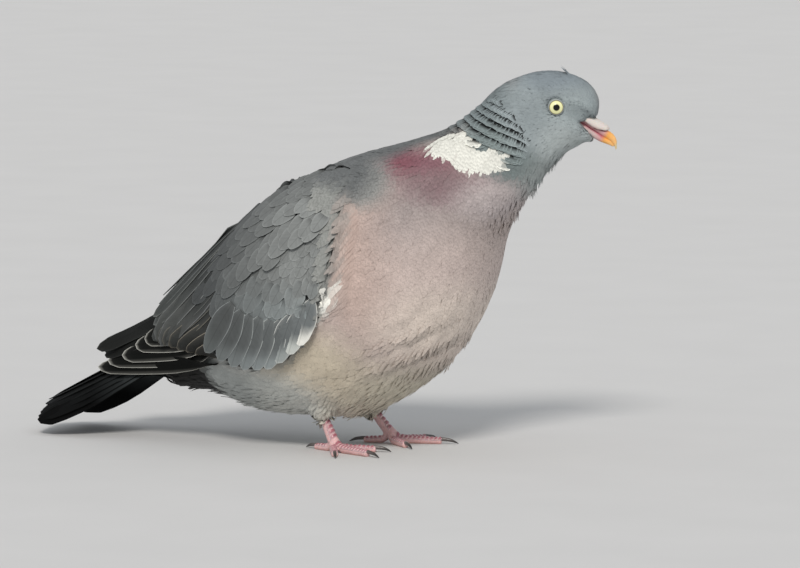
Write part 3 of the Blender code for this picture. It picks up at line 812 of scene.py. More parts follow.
part_trees = {
    "body": tree_of(["trunk", "thigh_right", "thigh_left"]),
    "neck": tree_of(["neck"]),
    "head": tree_of(["head"]),
    "wing_right": tree_of(["wing_right"]),
    "wing_left": tree_of(["wing_left"]),
}


def region_of(points):
    gaps = np.array([[tree.find_nearest(Vector(p))[3] for tree in part_trees.values()] for p in points])
    gaps[:, 0] += 0.3  # where two parts are as near, the body gives way
    return np.array(list(part_trees))[gaps.argmin(1)]


roots = scatter()
region = region_of(roots)
print("roots", {name: int((region == name).sum()) for name in part_trees})


# %% [markdown]
# ## Feathers of the body, neck and head
# Soft contour feathers have their bases hidden. In a few places, under the throat, round the legs
# and at the vent, the coat is loose and its tips stand out in clumps. The loose skin of the low
# breast lies in folds, and the furrows between them are darkened with painted shade.

# %% Loose places and folds
LOOSE = [
    # middle (x, out, z), half sizes, how far the tips stand out
    ((150, 0, 173), (8, 16, 7), 4.5),  # throat
    ((138, 4, 160), (8, 18, 10), 6.0),
    ((127, 10, 148), (7, 18, 8), 5.0),
    ((40, 14, 26), (34, 26, 12), 3.4),  # belly
    ((74, 26, 42), (22, 30, 12), 2.0),
    ((16, 26, 34), (16, 14, 10), 3.0),  # thighs
    ((-30, 14, 26), (26, 24, 10), 2.4),
    ((-66, 12, 32), (26, 20, 9), 5.0),  # vent
]
FOLDS = (86, 30, 60), (24, 34, 20)  # middle and half sizes
# the second is how far the furrows between the folds are darkened, as painted shade
FOLD_HEIGHT, FURROW_PAINTED_SHADE = 5.0, 0.5


def folds(straight):
    """How far the low breast's folds swell, and how deep their furrows are, as shares; the furrow share sets painted
    shade.
    """
    folded = fold(straight)
    x, y, z = folded.T
    wave = np.sin(z * 0.5 - x * 0.26 + 0.9 * np.sin(x * 0.13 + y * 0.11) + 0.03 * y)
    here = dome(folded, *FOLDS)
    return here * np.clip(wave, 0, 1), here * np.clip(-wave, 0, 1)


def looseness(straight):
    """How far a feather's tip stands out of the coat, in millimetres."""
    folded = fold(straight)
    x, y, z = folded.T
    clump = np.sin(x * 0.6 + 1.4 * np.sin(y * 0.4)) * np.sin(z * 0.5 + y * 0.3 + 3)
    loose = sum(amount * dome(folded, middle, half) for middle, half, amount in LOOSE)
    return FOLD_HEIGHT * folds(straight)[0] + np.clip(0.25 + 1.6 * clump, 0, 1) * loose


# %% [markdown]
# A feather that would run over an eye is cut short before it, and one that would fold over a
# crease is left out.

# %% Plant soft feathers
EYE_RIM, SHORTEST = 4.4, 0.6


def plant(name, at, shape, finish, covers, paler=1.06, darker=0.88, lift=0.15, soft=0.75, spread=0.03,
          size=None, wander=0.1, uneven=0.1):
    """darker and paler are its base and edge beside the vane, and lift how much single tips stand up."""
    size = coat_at(at)[1] if size is None else size
    vary = draw.normal(1, uneven, len(at))
    length = size[:, 1] * vary
    for eye in (eye_right, eye_left):
        gap = np.linalg.norm(at - eye, axis=1)
        before = ((eye - at) * coat_at(at)[0]).sum(1) > 0
        length = np.where(before, np.minimum(length, np.maximum(gap - EYE_RIM, SHORTEST)), length)
    spine, normals, patch = walk(at, length, wander=wander)
    flat = (normals[:, 0] * normals[:, -1]).sum(1) > 0.3
    at, size, vary, spine, normals, patch = (rows[flat] for rows in (at, size, vary, spine, normals, patch))
    near_tip = straighten(spine[:, -2])[0]
    vane = markings(near_tip) * draw.normal(1, spread, (len(at), 1))
    # painted shade in the furrows between the folds
    vane = vane * (1 - FURROW_PAINTED_SHADE * folds(near_tip)[1][:, None])
    tones = (vane * darker, vane, vane * paler)
    rise = (size[:, 0] * 0.1, size[:, 0] + lift * draw.random(len(at)))
    curl = looseness(straighten(at)[0]) * (0.4 + 0.6 * draw.random(len(at)))
    weave(name, spine, normals, patch, size[:, 2] * vary, tones, rise, shape, finish, covers, soft, curl=curl)


# %% [markdown]
# Feathers that start in a crease or under the folded wing can't lie flat, so those roots are left
# out. Just in front of the wing the feathers are long and stand high enough to lie over its edge.

# %% Plant the body
folded_roots = fold(straighten(roots)[0])
x, out, z = folded_roots.T
behind = behind_edge(folded_roots)
facing = on_skin(roots)[1]
outward = facing[:, 1] * np.sign(roots[:, 1])
on_wing, in_body = np.char.startswith(region, "wing"), region == "body"
wing_front = on_wing & (((behind < 6) & (z > 96) & (z < 162)) | ((x > 26) & (z > 148)))
beside_coverts = in_body & (z > 58) & (z < 95) & (out > 36)
thigh_low = np.where(roots[:, 1] < 0, box_mm("thigh_right")[0][2], box_mm("thigh_left")[0][2])
creased = on_wing & (x > 0) & (z < 125) & (outward < 0.5)
creased |= (z < thigh_low + 4) & (facing[:, 2] < -0.55) & (x < 40)
creased |= beside_coverts & (behind > -2)
on_body = (in_body | wing_front) & ~creased
for side, sign in (("right", -1), ("left", 1)):
    for i in np.flatnonzero(in_body & (roots[:, 1] * sign > 15) & (behind > 8)):
        if part_trees[f"wing_{side}"].ray_cast(Vector(roots[i]), Vector((0, sign, 0)))[0] is not None:
            on_body[i] = False
bridge = np.clip(1.2 - np.abs(behind + 4) / 7, 0, 1) * ramp(z, 84, 94) * ramp(z, 154, 146)
bridge *= (out > 28) * ~on_wing
body_size = coat_at(roots)[1] + bridge[:, None] * [2.4, 5.5, 1.2, 0]
body_size[beside_coverts & (behind > -12)] *= [1, 0.7, 1, 1]
for side, here in (("right", roots[:, 1] < 0), ("left", roots[:, 1] >= 0)):
    for part, half, covers in (
        ("breast", roots[:, 0] > 62, ["trunk"]),
        ("belly", roots[:, 0] <= 62, ["trunk", f"thigh_{side}"]),
    ):
        mask = on_body & here & half
        plant(f"{part}_feathers_{side}", roots[mask], SOFT, down_feather, covers,
              size=body_size[mask], darker=0.94, lift=0.08)


# %% [markdown]
# ## The ruffled neck
# On the side of a pigeon's neck the feathers lie in rows with dark furrows between them. Each row
# is a line across the lie of the coat. The roots are pushed along the lie until their tips meet
# the nearest line and the tips stand proud. The bases are painted almost black, as painted shade
# in the furrows, and the tips paler, as a painted highlight along each row.

# %% Rows of the neck
ROW = 4.4
RUFFLE = ((114, 24, 194), (20, 26, 16))  # middle and half sizes on the straight bird


def to_rows(at):
    """Roots pushed so that tips end on the lines, how strongly each is ruffled, and which are white."""
    way, size, straight = coat_at(at)
    way = unit(way)
    out = np.linalg.norm((fold(straight) - RUFFLE[0]) / RUFFLE[1], axis=1)
    tip = straighten(at + way * size[:, 1:2])[0]
    white = (markings(straight)[:, 0] > 0.5) | (markings(tip)[:, 0] > 0.5)
    strength = ramp(out, 1.25, 0.8) * ~white
    x, y, z = fold(tip).T
    wave = 0.9 * np.sin(x * 0.17 + 1) + 0.5 * np.sin(y * 0.45 + z * 0.2)
    height = (z * 0.9 + x * 0.42 + wave) / ROW
    push = (height - np.round(height)) * ROW * np.minimum(strength * 2, 1)
    pushed = at + way * push[:, None]
    for place in (pushed, pushed + way * size[:, 1:2]):
        white |= markings(straighten(place)[0])[:, 0] > 0.5
    return pushed, strength * ~white, size, white


neck_at, strength, neck_size, white = to_rows(roots[region == "neck"])
furrowed = strength > 0.2
plant("neck_feathers", neck_at[~furrowed & ~white], SOFT, down_feather, ["neck"])
plant("collar_feathers", neck_at[white], dict(SOFT, ragged=0.2, dip=0.16, camber=0.04), down_feather,
      ["neck"], darker=1.0, paler=1.0, soft=0.93, lift=0.05, wander=0.03, uneven=0.05, spread=0.02,
      size=neck_size[white] * [1, 1.15, 0.9, 1])
# dark is how dark each hidden base is painted: painted shade in the furrows, weaker on the faint rows. paler=1.7
# paints a highlight along the tips.
for name, here, dark in (
    ("neck_ruffles_faint", furrowed & (strength < 0.6), 0.35),
    ("neck_ruffles", strength >= 0.6, 0.05),
):
    wide = neck_size[here] * [1, 1.05, 2.0, 1] + strength[here, None] * [0.8, 0, 0, 0]
    plant(name, neck_at[here], ROW_VANE, down_feather, ["neck"], paler=1.7, darker=dark, lift=0.2,
          soft=0.45, size=wide, wander=0.02, uneven=0.02)

# %% [markdown]
# The face has the shortest feathers of all, and none within the lids. A few feathers of the
# forehead stand up.

# %% Plant the head
BARE_ROUND_EYE = 4.6
eye_gap = np.minimum(np.linalg.norm(roots - eye_right, axis=1), np.linalg.norm(roots - eye_left, axis=1))
head_at = roots[(region == "head") & (eye_gap > BARE_ROUND_EYE)]
plant("head_feathers", head_at, SHORT, face_feather, ["head"])

crest = np.array([(157.5, y, 221.5) for y in (-2.5, -1, 0.5, 2, 3.2)])
crest = on_skin(spin(crest, np.full(len(crest), HEAD_TURN)))[0]
plant("crest_feathers", crest, dict(SHORT, climb=2.0), face_feather, ["head"],
      size=np.tile([4.6, 8.0, 3.2, 1.0], (len(crest), 1)), lift=1.5, paler=1.5, wander=0.01, uneven=0.04)

# %% [markdown]
# ## The folded wing
# Small and middle coverts radiate from the wrist like a fan, and the scapulars lie over their
# upper edge as one loose flap, with a dark line of shadow under it. The same walk over the skin
# places them, on guides of their own.

# %% Guides for the wing
FAN = np.array([72, 0, 226])  # where the lines of the wing's coverts would meet
ALONG_BACK = np.array([-0.89, 0, -0.45])
WING_SIZES = {
    # place: (x, out, z), length, width, spacing
    "wrist": ((38, 60, 115), 9, 6.5, 3.6),
    "front edge": ((30, 62, 90), 12, 8, 4.6),
    "small coverts": ((12, 63, 112), 14, 10, 5.4),
    "middle coverts": ((-8, 60, 92), 18, 12, 6.6),
    "rear coverts": ((-34, 53, 96), 22, 13, 7.4),
    "front scapulars": ((30, 42, 160), 14, 10, 5.0),
    "scapulars": ((2, 48, 140), 19, 13.5, 7.0),
    "rear scapulars": ((-24, 40, 128), 22, 15, 7.6),
    "over the rump": ((-55, 22, 112), 24, 13, 7.6),
}
wing_place = np.array([row[0] for row in WING_SIZES.values()], float)
wing_size = np.array([row[1:] for row in WING_SIZES.values()], float)
SCAPULAR_EDGE = ((-19, 104.6), (34, 139))  # its lower edge, x and z, from the last tip forward


def wing_lie(points, normals):
    """Down from the fan's middle on the side of the wing, and along the back on its top."""
    sideways = np.clip((np.abs(normals[:, 1:2]) - 0.45) / 0.45, 0, 1)
    return unit(unit((points - FAN) * [1, 0, 1]) * sideways + ALONG_BACK * (1 - sideways))


def wing_sizes(points):
    return shares_of(fold(points), wing_place) @ wing_size


def over_scapular_edge(points):
    (x0, z0), (x1, z1) = SCAPULAR_EDGE
    return points[:, 2] - (z0 + (points[:, 0] - x0) * (z1 - z0) / (x1 - x0))


def in_scapulars(points):
    (x0, z0), _ = SCAPULAR_EDGE
    return (over_scapular_edge(points) > 0) & (points[:, 0] > x0 - (points[:, 2] - z0) * 1.5)


# %% [markdown]
# Coverts grow from the outside and the top of the wing down to a line, and the last row before
# that line and before the scapulars' edge stands proud, as it hides the roots of what lies below
# it. A feather that would hang in the air, fold over the rear edge or turn inward is left out,
# and along the back all lie flatter, for a clean outline.

# %% Plant the wing's coverts and scapulars
PALE_WING, DEEP_WING, BLUE_COVERT = cards("7d807f", "414445", "7d8789")
# No small covert is rooted below this line, x and z.
COVERT_END = ((-100, 122), (-60, 110), (-44, 99), (-30, 91), (-18, 85), (8, 86), (22, 89), (32, 93))


def above_covert_end(points):
    return points[:, 2] - np.interp(points[:, 0], *np.transpose(COVERT_END))


def wing_tones(tip):
    """Darker to the rear and the top, bluer low on the wing."""
    x, z = tip[:, 0:1], tip[:, 2:3]
    shade = ramp(x, -50, 15) * np.clip((176 - z) / 34, 0.3, 1)
    vane = DEEP_WING + (PALE_WING - DEEP_WING) * shade
    vane = vane + (BLUE_COVERT - vane) * ramp(z, 100, 65) * shade
    vane = vane * draw.normal(1, 0.08, (len(tip), 1))
    return vane * 0.6, vane, vane * 1.5


def wing_coat(side):
    at = roots[(region == f"wing_{side}") & ~wing_front & ~creased]
    at = at[thinned(at, wing_sizes(at)[:, 2] * CLEAR)]
    facing = on_skin(at)[1]
    outward = facing[:, 1] * np.sign(at[:, 1])
    at = at[((outward > 0.3) | ((facing[:, 2] > 0.3) & (outward > -0.2))) & (above_covert_end(at) > 0)]
    upper = in_scapulars(at)
    tree = part_trees[f"wing_{side}"]
    for part, here, lift in (("coverts", at[~upper], 1.9), ("scapulars", at[upper], 2.6)):
        length, width, _ = wing_sizes(here).T
        spine, normals, patch = walk(here, length, steps=5, wander=0.05, lie=wing_lie, cling=0.35)
        end, end_normal = spine[:, -1], normals[:, -1]
        by_back = ramp(np.abs(end[:, 1]), 36, 24)
        hang = np.array([tree.find_nearest(Vector(p))[3] for p in end])
        keep = (hang < 2.6 - 0.9 * by_back) & ((normals[:, 0] * end_normal).sum(1) > 0.7)
        keep &= (end_normal[:, 1] * np.sign(end[:, 1]) > -0.15) & (end_normal[:, 0] > -0.6)
        spine, normals, patch, width, by_back = (rows[keep] for rows in (spine, normals, patch, width, by_back))
        tip = spine[:, -2]
        tones = wing_tones(tip)
        if part == "coverts":
            last_row = ramp(above_covert_end(tip), 14, 4)
        else:
            last_row = ramp(over_scapular_edge(tip), 5, -1)
        high = (lift + 1.4 * last_row + 0.25 * draw.random(len(tip))) * (1 - 0.55 * by_back)
        weave(f"wing_{part}_{side}", spine, normals, patch, width, tones, (0.3 + 0.6 * last_row, high), COVERT,
              covert_feather, [f"wing_{side}"], soft=0.45)


for side in ("right", "left"):
    wing_coat(side)

# %% [markdown]
# ## Great coverts, secondaries and primaries
# The long feathers are few and each has its place, so they are laid by name: a line of tips and a
# line of roots, and as many feathers between as the wing shows. Each is cast sideways onto the CAD
# wing, or from above where it lies on the back, and the inner feathers lie over the outer ones.

# %% Cast a line of places onto the bird
REAR_EDGE, TAIL_UNDER = -82, 50  # tertials reach past this x, and nothing of the wing is below this z


def on_side(tree, places):
    """The outside of the right half at each (x, z), and its normals."""
    points, normals = np.zeros((len(places), 3)), np.zeros((len(places), 3))
    for i, (x, z) in enumerate(places):
        hit = tree.ray_cast(Vector((x, -200, z)), Vector((0, 1, 0)))
        if hit[0] is None:
            hit = tree.find_nearest(Vector((x, -40, z)))
        points[i] = (x, hit[0].y, z)
        normals[i] = hit[1]
    return points, normals


def on_top(tree, places):
    """The top of the right half at each (x, y), and its normals. Past the rear edge it goes straight on."""
    points, normals = np.zeros((len(places), 3)), np.zeros((len(places), 3))
    for i, (x, y) in enumerate(places):
        hit = tree.ray_cast(Vector((x, y, 300)), Vector((0, 0, -1)))
        if hit[0] is None or hit[0].z < TAIL_UNDER:
            hit = tree.find_nearest(Vector((x, y, 120)))
        if x > REAR_EDGE:
            points[i], normals[i] = (x, y, hit[0].z), hit[1]
        else:
            points[i], normals[i] = (x, y, 2 * points[i - 1, 2] - points[i - 2, 2]), normals[i - 1]
    return points, normals


def along_line(line, shares):
    """Places or colours along a line of a few given ones."""
    line = np.array(line, float)
    stops = np.linspace(0, 1, len(line))
    return np.stack([np.interp(shares, stops, line[:, k]) for k in range(line.shape[1])], 1)


# %% Lay long feathers on both sides of the bird
STEPS = 9


def lay(name, tree, tips, bases, count, width, lifts, tones, covers, shape=QUILL, hand=1, bow=0.0,
        finish=quill_feather, cast=on_side, root=-2.6):
    """count feathers from the first tip to the last. lifts is how high the first and the last one
    lie on the CAD part, and root how high their bases do, where below 0 is under the small coverts."""
    shares = np.linspace(0, 1, count)
    tip, base = along_line(tips, shares), along_line(bases, shares)
    t = np.linspace(0, 1, STEPS)
    flat = base[:, None] + (tip - base)[:, None] * t[None, :, None]
    run = unit(tip - base)
    flat = flat + np.stack([run[:, 1], -run[:, 0]], 1)[:, None] * (bow * np.sin(t * math.pi))[None, :, None]
    points, normals = cast(tree, flat.reshape(-1, 2))
    points, normals = points.reshape(count, STEPS, 3), normals.reshape(count, STEPS, 3)
    for _ in range(3):
        points[:, 1:-1] = (points[:, :-2] + points[:, 2:] + points[:, 1:-1]) / 3
        normals[:, 1:-1] = unit(normals[:, :-2] + normals[:, 2:] + normals[:, 1:-1])
    widths = np.interp(shares, np.linspace(0, 1, len(width)), width)
    lift = np.interp(shares, [0, 1], lifts)
    rise = (root + 0.6 * (lift - lift.min()), lift)
    for side, mirror in (("right", 1), ("left", -1)):
        flip = np.array([1, mirror, 1])
        tinted = [along_line(card, shares) * draw.normal(1, 0.03, (count, 1)) for card in tones]
        weave(f"{name}_{side}", points * flip, normals * flip, on_skin(points[:, 0] * flip)[2], widths, tinted, rise,
              shape, finish, [f"{part}_{side}" for part in covers], soft=0.2, hand=hand * mirror)


# %% Great coverts, secondaries and tertials
wing_tree, flight_tree = part_trees["wing_right"], tree_of(["flight_right"])
# Tips and bases are x and z for feathers on the side, and x and y for tertials on the top.
COVERT_TIPS = [(18, 66), (11, 60.5), (3, 55), (-5, 51), (-13, 50), (-21, 50), (-29, 51), (-38, 54), (-47, 58.5)]
COVERT_BASES = [(28, 93), (22, 88), (15, 84), (8, 80), (1, 80), (-6, 81), (-13, 82), (-19, 84), (-26, 88)]
lay("great_coverts", wing_tree, COVERT_TIPS, COVERT_BASES, 9, (13, 14.5, 14.5), (0.2, 3.2),
    (cards("6a6f70", "4a4d4d"),
     cards("e9e9e2", "b9beba", "8e9595", "858c8d", "7f8687", "747a7b", "676c6c", "595e5e"),
     cards("f4f3ed", "dcddd8", "b9bebc", "a6acac", "969b9c")), ["wing"],
    shape=dict(QUILL, round=0.22, climb=0.7, dark=0.72), hand=0, finish=covert_feather, root=-0.9)
SECOND_TIPS = [(-91, 62), (-86, 60.5), (-81, 59), (-74, 57), (-66, 55.5), (-58, 54)]
SECOND_BASES = [(-38, 102), (-35, 98), (-33, 95), (-28, 86), (-23, 77), (-18, 68)]
lay("secondaries", wing_tree, SECOND_TIPS, SECOND_BASES, 7, (13, 15, 13), (1.8, -0.8),
    (cards("3a3c3c", "2e2f2e"), cards("474a4a", "3c3e3d", "373735"), cards("6b6d6b", "8a8478", "9a9387")),
    ["wing"], hand=0, bow=-1.0)
TERTIAL_TIPS = [(-91, -14), (-92, -18), (-91, -23), (-89, -28)]
TERTIAL_BASES = [(-24, -12), (-24, -20), (-25, -28), (-28, -36)]
lay("tertials", wing_tree, TERTIAL_TIPS, TERTIAL_BASES, 4, (15, 15), (4.6, 3.2),
    (cards("3a3c3c", "3a3c3c"), cards("484b4c", "464949"), cards("6d706f", "6d706f")),
    ["wing"], hand=0, cast=on_top)
OUTER_TIPS = [(-92, 72), (-90, 66), (-84, 61)]
OUTER_BASES = [(-46, 124), (-43, 113), (-39, 101)]
lay("outer_tertials", wing_tree, OUTER_TIPS, OUTER_BASES, 4, (17, 17), (4.4, 3.0),
    (cards("3a3c3c", "3a3c3c"), cards("434645", "4c4e4d"), cards("7d807e", "87898a")),
    ["wing"], hand=0, shape=dict(QUILL, round=0.18), root=-1.6)

# %% Primaries
FIRST_TIPS = [(-100, 60), (-107, 56), (-117, 49.5), (-129, 45.5), (-138, 41)]
FIRST_BASES = [(-52, 70), (-51, 65), (-49, 60), (-47, 55), (-46, 50)]
lay("primaries", flight_tree, FIRST_TIPS, FIRST_BASES, 5, (13, 12, 11), (2.6, -0.2),
    (cards("0f100f", "0f100f"), cards("141514", "101110"), cards("dddcd4", "dddcd4")),
    ["flight"], root=0.5)
TOP_TIPS = [(-136, 52), (-133, 48)]
TOP_BASES = [(-60, 88), (-60, 80)]
lay("inner_primaries", flight_tree, TOP_TIPS, TOP_BASES, 3, (15, 14), (0.2, 0.4),
    (cards("191a19", "191a19"), cards("1e1f1e", "1a1b1a"), cards("343534", "343534")),
    ["flight"], root=0.1)

# %% [markdown]
# ## The tail
# Twelve tail feathers lie closed like a hand of cards, the middle pair on top. They are cast down
# onto the top of the CAD tail, so they keep its arch.

# %% Tail feathers
tail_low, tail_high = box_mm("tail")
tail_tree = tree_of(["tail"])
TAIL_SHARES = (0.1, 0.3, 0.48, 0.64, 0.79, 0.9)  # where each pair's shaft ends, as a share of the half width


def tail_feathers(sign):
    """Spines and normals of one half of the tail, from the tip back to the root of each feather."""
    spine, normals = np.zeros((6, STEPS, 3)), np.zeros((6, STEPS, 3))
    front, rear = tail_high[0] + 10, tail_low[0]
    for k, share in enumerate(TAIL_SHARES):
        for i in range(STEPS - 1, -1, -1):
            t = i / (STEPS - 1)
            x = front + (rear + 0.8 * k - front) * t
            y = sign * share * tail_high[1] * (0.3 + 0.66 * min(t / 0.8, 1))
            for inward in (1, 0.95, 0.9, 0.85, 0.8):  # a ray that misses the edge is tried further in
                hit = tail_tree.ray_cast(Vector((max(x, rear + 2), y * inward, 200)), Vector((0, 0, -1)))
                if hit[0] is not None:
                    break
            if hit[0] is not None:
                z, normal = hit[0].z, hit[1]
            else:  # in front of the CAD tail it goes on under the rump
                z, normal = spine[k, i + 1, 2] + 1.0, normals[k, i + 1]
            spine[k, i] = (x, y, z)
            normals[k, i] = normal
    for _ in range(2):
        spine[:, 1:-1, 2] = (spine[:, :-2, 2] + spine[:, 2:, 2] + spine[:, 1:-1, 2]) / 3
        normals[:, 1:-1] = unit(normals[:, :-2] + normals[:, 2:] + normals[:, 1:-1])
    return spine, normals


halves = [tail_feathers(sign) for sign in (-1, 1)]
spine, normals = (np.concatenate([half[k] for half in halves]) for k in (0, 1))
order = np.tile(np.arange(6), 2)  # 0 is the middle pair, on top
# Near-black vanes, darkest on the outer pairs that lie lowest: the tail's own black band together with painted shade
# of its shadowed underside.
vane = np.tile(along_line(cards("121313", "070808", "030303"), np.linspace(0, 1, 6)), (2, 1))
base = np.tile(linear("3a3e3f"), (12, 1))
weave("tail_feathers", spine, normals, on_skin(spine[:, 0])[2], np.full(12, 18.0), (base, vane, vane * 1.8),
      (-0.5 - 0.3 * order, 0.3 - 0.3 * order), QUILL, quill_feather, ["tail"], soft=0.2)

# %% [markdown]
# ## Colour on the skin
# The skin shows only in narrow gaps between feathers. It has the coat's own markings, made a
# little darker as painted shade in those gaps, and on the wing the dark of the feathers' hidden bases.

# %% Dress the skin
skin_tone = markings(straighten(skin_co)[0])
near_wing = np.flatnonzero((skin_co[:, 0] < 50) & (skin_co[:, 2] > 40))
near_wing = near_wing[np.char.startswith(region_of(skin_co[near_wing]), "wing")]
from_edge = behind_edge(fold(skin_co[near_wing]))[:, None]
skin_tone[near_wing] = np.where(from_edge < 9, WING_FRONT, DEEP_WING * 1.3)
# painted shade: the skin lies in the coat's shadow, less so on the head
skin_tone *= np.where(skin_co[:, 2] > 176, 0.95, 0.85)[:, None]
paint(skin_mesh, skin_tone)
skin_mesh.polygons.foreach_set("use_smooth", np.ones(len(skin_mesh.polygons), bool))
skin_mesh.uv_layers.new(name="vane")
hand_over(skin, down_feather, FLESH)


# %% [markdown]
# ## Bare parts
# A small piece is drawn from its CAD part in fine voxels, so that it keeps that part's shape, and
# then pressed and coloured point by point on axes of its own.

# %% Fine copies of CAD parts
def dress(name, mesh, tones, finish, nodes):
    """Colours, smooths and hands over a mesh whose points have the given colours."""
    paint(mesh, tones)
    mesh.polygons.foreach_set("use_smooth", np.ones(len(mesh.polygons), bool))
    hand_over(link(name, mesh), finish, nodes)
    print(f"{name}: {len(mesh.polygons)} faces")


def fine_copy(name, nodes, voxel, rounds, shape, finish):
    """shape takes points and normals in millimetres and returns new points and their colours."""
    bm = remeshed(nodes, voxel, rounds)
    bm.normal_update()
    co, tones = shape(*arrays(bm))
    for vert, place in zip(bm.verts, co):
        vert.co = place * MM
    mesh = bpy.data.meshes.new(name)
    bm.to_mesh(mesh)
    dress(name, mesh, tones, finish, nodes)


def closed_mesh(name, points, faces):
    mesh = bpy.data.meshes.new(name)
    mesh.from_pydata((points * MM).tolist(), [], faces)
    bm = bmesh.new()
    bm.from_mesh(mesh)
    bmesh.ops.recalc_face_normals(bm, faces=bm.faces)
    bm.to_mesh(mesh)
    return mesh


# %% Material of bare parts
def bare(name, roughness, coat, grain_mm, depth_mm, mottle, subsurface=0.0, gloss=0.5):
    """A dense skin or horn: fine grain in bump, a little mottling in colour."""
    material, output = blank(name)
    tone = add(material, "ShaderNodeVertexColor", layer_name="tone").outputs["Color"]
    place = add(material, "ShaderNodeNewGeometry").outputs["Position"]
    grain = add(material, "ShaderNodeTexNoise", {"Vector": place, "Scale": 1 / (grain_mm * MM), "Detail": 4.0})
    mottled = add(
        material, "ShaderNodeMapRange",
        {"Value": grain.outputs["Fac"], "From Min": 0.3, "From Max": 0.7, "To Min": 1 - mottle, "To Max": 1 + mottle},
    )
    shade = add(material, "ShaderNodeVectorMath", {0: tone, "Scale": mottled.outputs[0]}, operation="SCALE")
    bump = add(
        material, "ShaderNodeBump", {"Height": grain.outputs["Fac"], "Strength": 0.5, "Distance": depth_mm * MM}
    )
    shader = add(
        material, "ShaderNodeBsdfPrincipled",
        {"Base Color": shade.outputs[0], "Roughness": roughness, "Coat Weight": coat, "Coat Roughness": 0.15,
         "IOR": 1.5, "Specular IOR Level": gloss, "Subsurface Weight": subsurface, "Subsurface Scale": 1.0 * MM,
         "Normal": bump.outputs[0]},
    )
    finish_with(material, output, shader)
    return material


# %% [markdown]
# ## Bill
# The bill is horn in two halves. It is crimson and powdery at its base, orange from the nostril
# on, and ends in a pale hook. The cere over the nostrils is soft white skin with a powder bloom,
# so it is the dullest surface of the head. Its axis runs from the corner of the mouth to the tip.

# %% Colours of the bill
bill_horn = bare("polished_horn_bill", 0.38, 0.25, 0.9, 0.04, 0.06, 0.05)
cere_skin = bare("powdered_soft_skin_cere", 0.9, 0.0, 0.7, 0.09, 0.05, 0.1)
CRIMSON, POWDERED, ORANGE, AMBER, HOOK = cards("b8606f", "cf9d9e", "e9a03e", "f4bc74", "e4cf9c")
NOSTRIL_SHADE_RED, GAPE_RED, CHIN_SKIN, CERE_WHITE, CERE_PINK = cards("6d1c2e", "a5304a", "c9b3b0", "d6cdc7", "c2a19e")


def bill_tones(points):
    along, up, _ = bill_axes(points)
    tones = blend(CRIMSON, POWDERED, np.abs(up + 1.4) / 1.3)
    tones = blend(tones, ORANGE, ramp(along, 12, 15))
    tones = blend(tones, AMBER, ramp(along, 14, 19))
    return blend(tones, HOOK, ramp(along, 20.6, 22.2))


def tell(part, points):
    along, up, _ = bill_axes(points)
    print(part, "along", along.min().round(1), along.max().round(1), "up", up.min().round(1), up.max().round(1))


# %% Bill and cere
BILL_LOWERED = 1.6
BILL_VOXEL, BILL_ROUNDS = 0.3, 3


def stretched(co, reach=13.0):
    """The base of a bill part drawn back into the face, to the corners of the mouth."""
    along, _, _ = bill_axes(co)
    back = -14 * np.clip((reach - along) / 9, 0, 1.15) ** 1.3
    return co + from_bill_axes(back, 0 * back - BILL_LOWERED, 0 * back)


def shape_upper(co, normal):
    co = stretched(co)
    up = bill_axes(co)[1]
    co = co + from_bill_axes(0 * up, -0.1 * np.maximum(up, 0), 0 * up)
    along, up, _ = bill_axes(co)
    slit = bell(up, 0.5 + 0.39 * (along - 6.8), 0.12) * ramp(along, 5, 6.5) * ramp(along, 13, 11.5)
    # The nostril slit is sunk a little and painted dark red: painted shade in its opening.
    tones = blend(bill_tones(co), NOSTRIL_SHADE_RED, slit * 1.2)
    tones = blend(tones, GAPE_RED, bell(up, -1.5, 0.12) * ramp(along, 16, 12))
    tell("upper bill", co)
    return co - normal * (slit * 0.45)[:, None], tones


def shape_lower(co, normal):
    co = stretched(co)
    along, up, _ = bill_axes(co)
    co = co + from_bill_axes(0 * along, 1.25 + 0.3 * (up + 2.5) / 2.5, 0 * along)
    tones = blend(bill_tones(co), CHIN_SKIN, ramp(along, 12, 8) * ramp(up, -2.2, -3.4))
    tones = blend(tones, GAPE_RED, bell(up, -1.8, 0.2) * ramp(along, 15, 11))
    tell("lower bill", co)
    return co, tones


def shape_cere(co, normal):
    co = stretched(co, 11.0)
    along, up, out = bill_axes(co)
    front = ramp(along, 5, 12)
    lower = -0.85 - 0.9 * ramp(up, 6.8, 2.2) * ramp(along, 12, 7) + 0.9 * front
    co = co + from_bill_axes(1.2 * front, lower, out * 0.3)
    along, up, out = bill_axes(co)
    tones = blend(CERE_WHITE, CERE_PINK, (2.6 - up) / 1.8 + 0.35 * (along - 10) / 4)
    tell("cere", co)
    return co - normal * (bell(out, 0, 0.25) * 0.25)[:, None], tones


for name, node, shape, finish, slot in (
    ("bill_horn_upper", "bill_upper", shape_upper, bill_horn, "bill_orange"),
    ("bill_horn_lower", "bill_lower", shape_lower, bill_horn, "bill_orange"),
    ("cere_skin", "cere", shape_cere, cere_skin, "cere_white"),
):
    fine_copy(name, [node], BILL_VOXEL, BILL_ROUNDS, shape, finish)

# %% [markdown]
# ## Eyes
# The eye is a wet ball, so it has a clear coat over its colours. It is turned on a lathe about
# its own gaze: a black pupil, a pale straw iris that darkens at both its edges, and round it a lid, a
# thin ring of bare skin.

# %% Turn on a lathe
wet_eye = bare("wet_cornea_over_iris", 0.25, 0.45, 0.35, 0.0, 0.05, gloss=0.1)
lid_skin = bare("thin_bare_eyelid_skin", 0.55, 0.15, 0.5, 0.06, 0.08)
HEAD_AHEAD = np.array([math.cos(HEAD_TURN), math.sin(HEAD_TURN), 0])
eye_low, eye_high = box_mm("eye_right")
eye_radius = float(eye_high[2] - eye_low[2]) / 2
print("eye radius", round(eye_radius, 2))


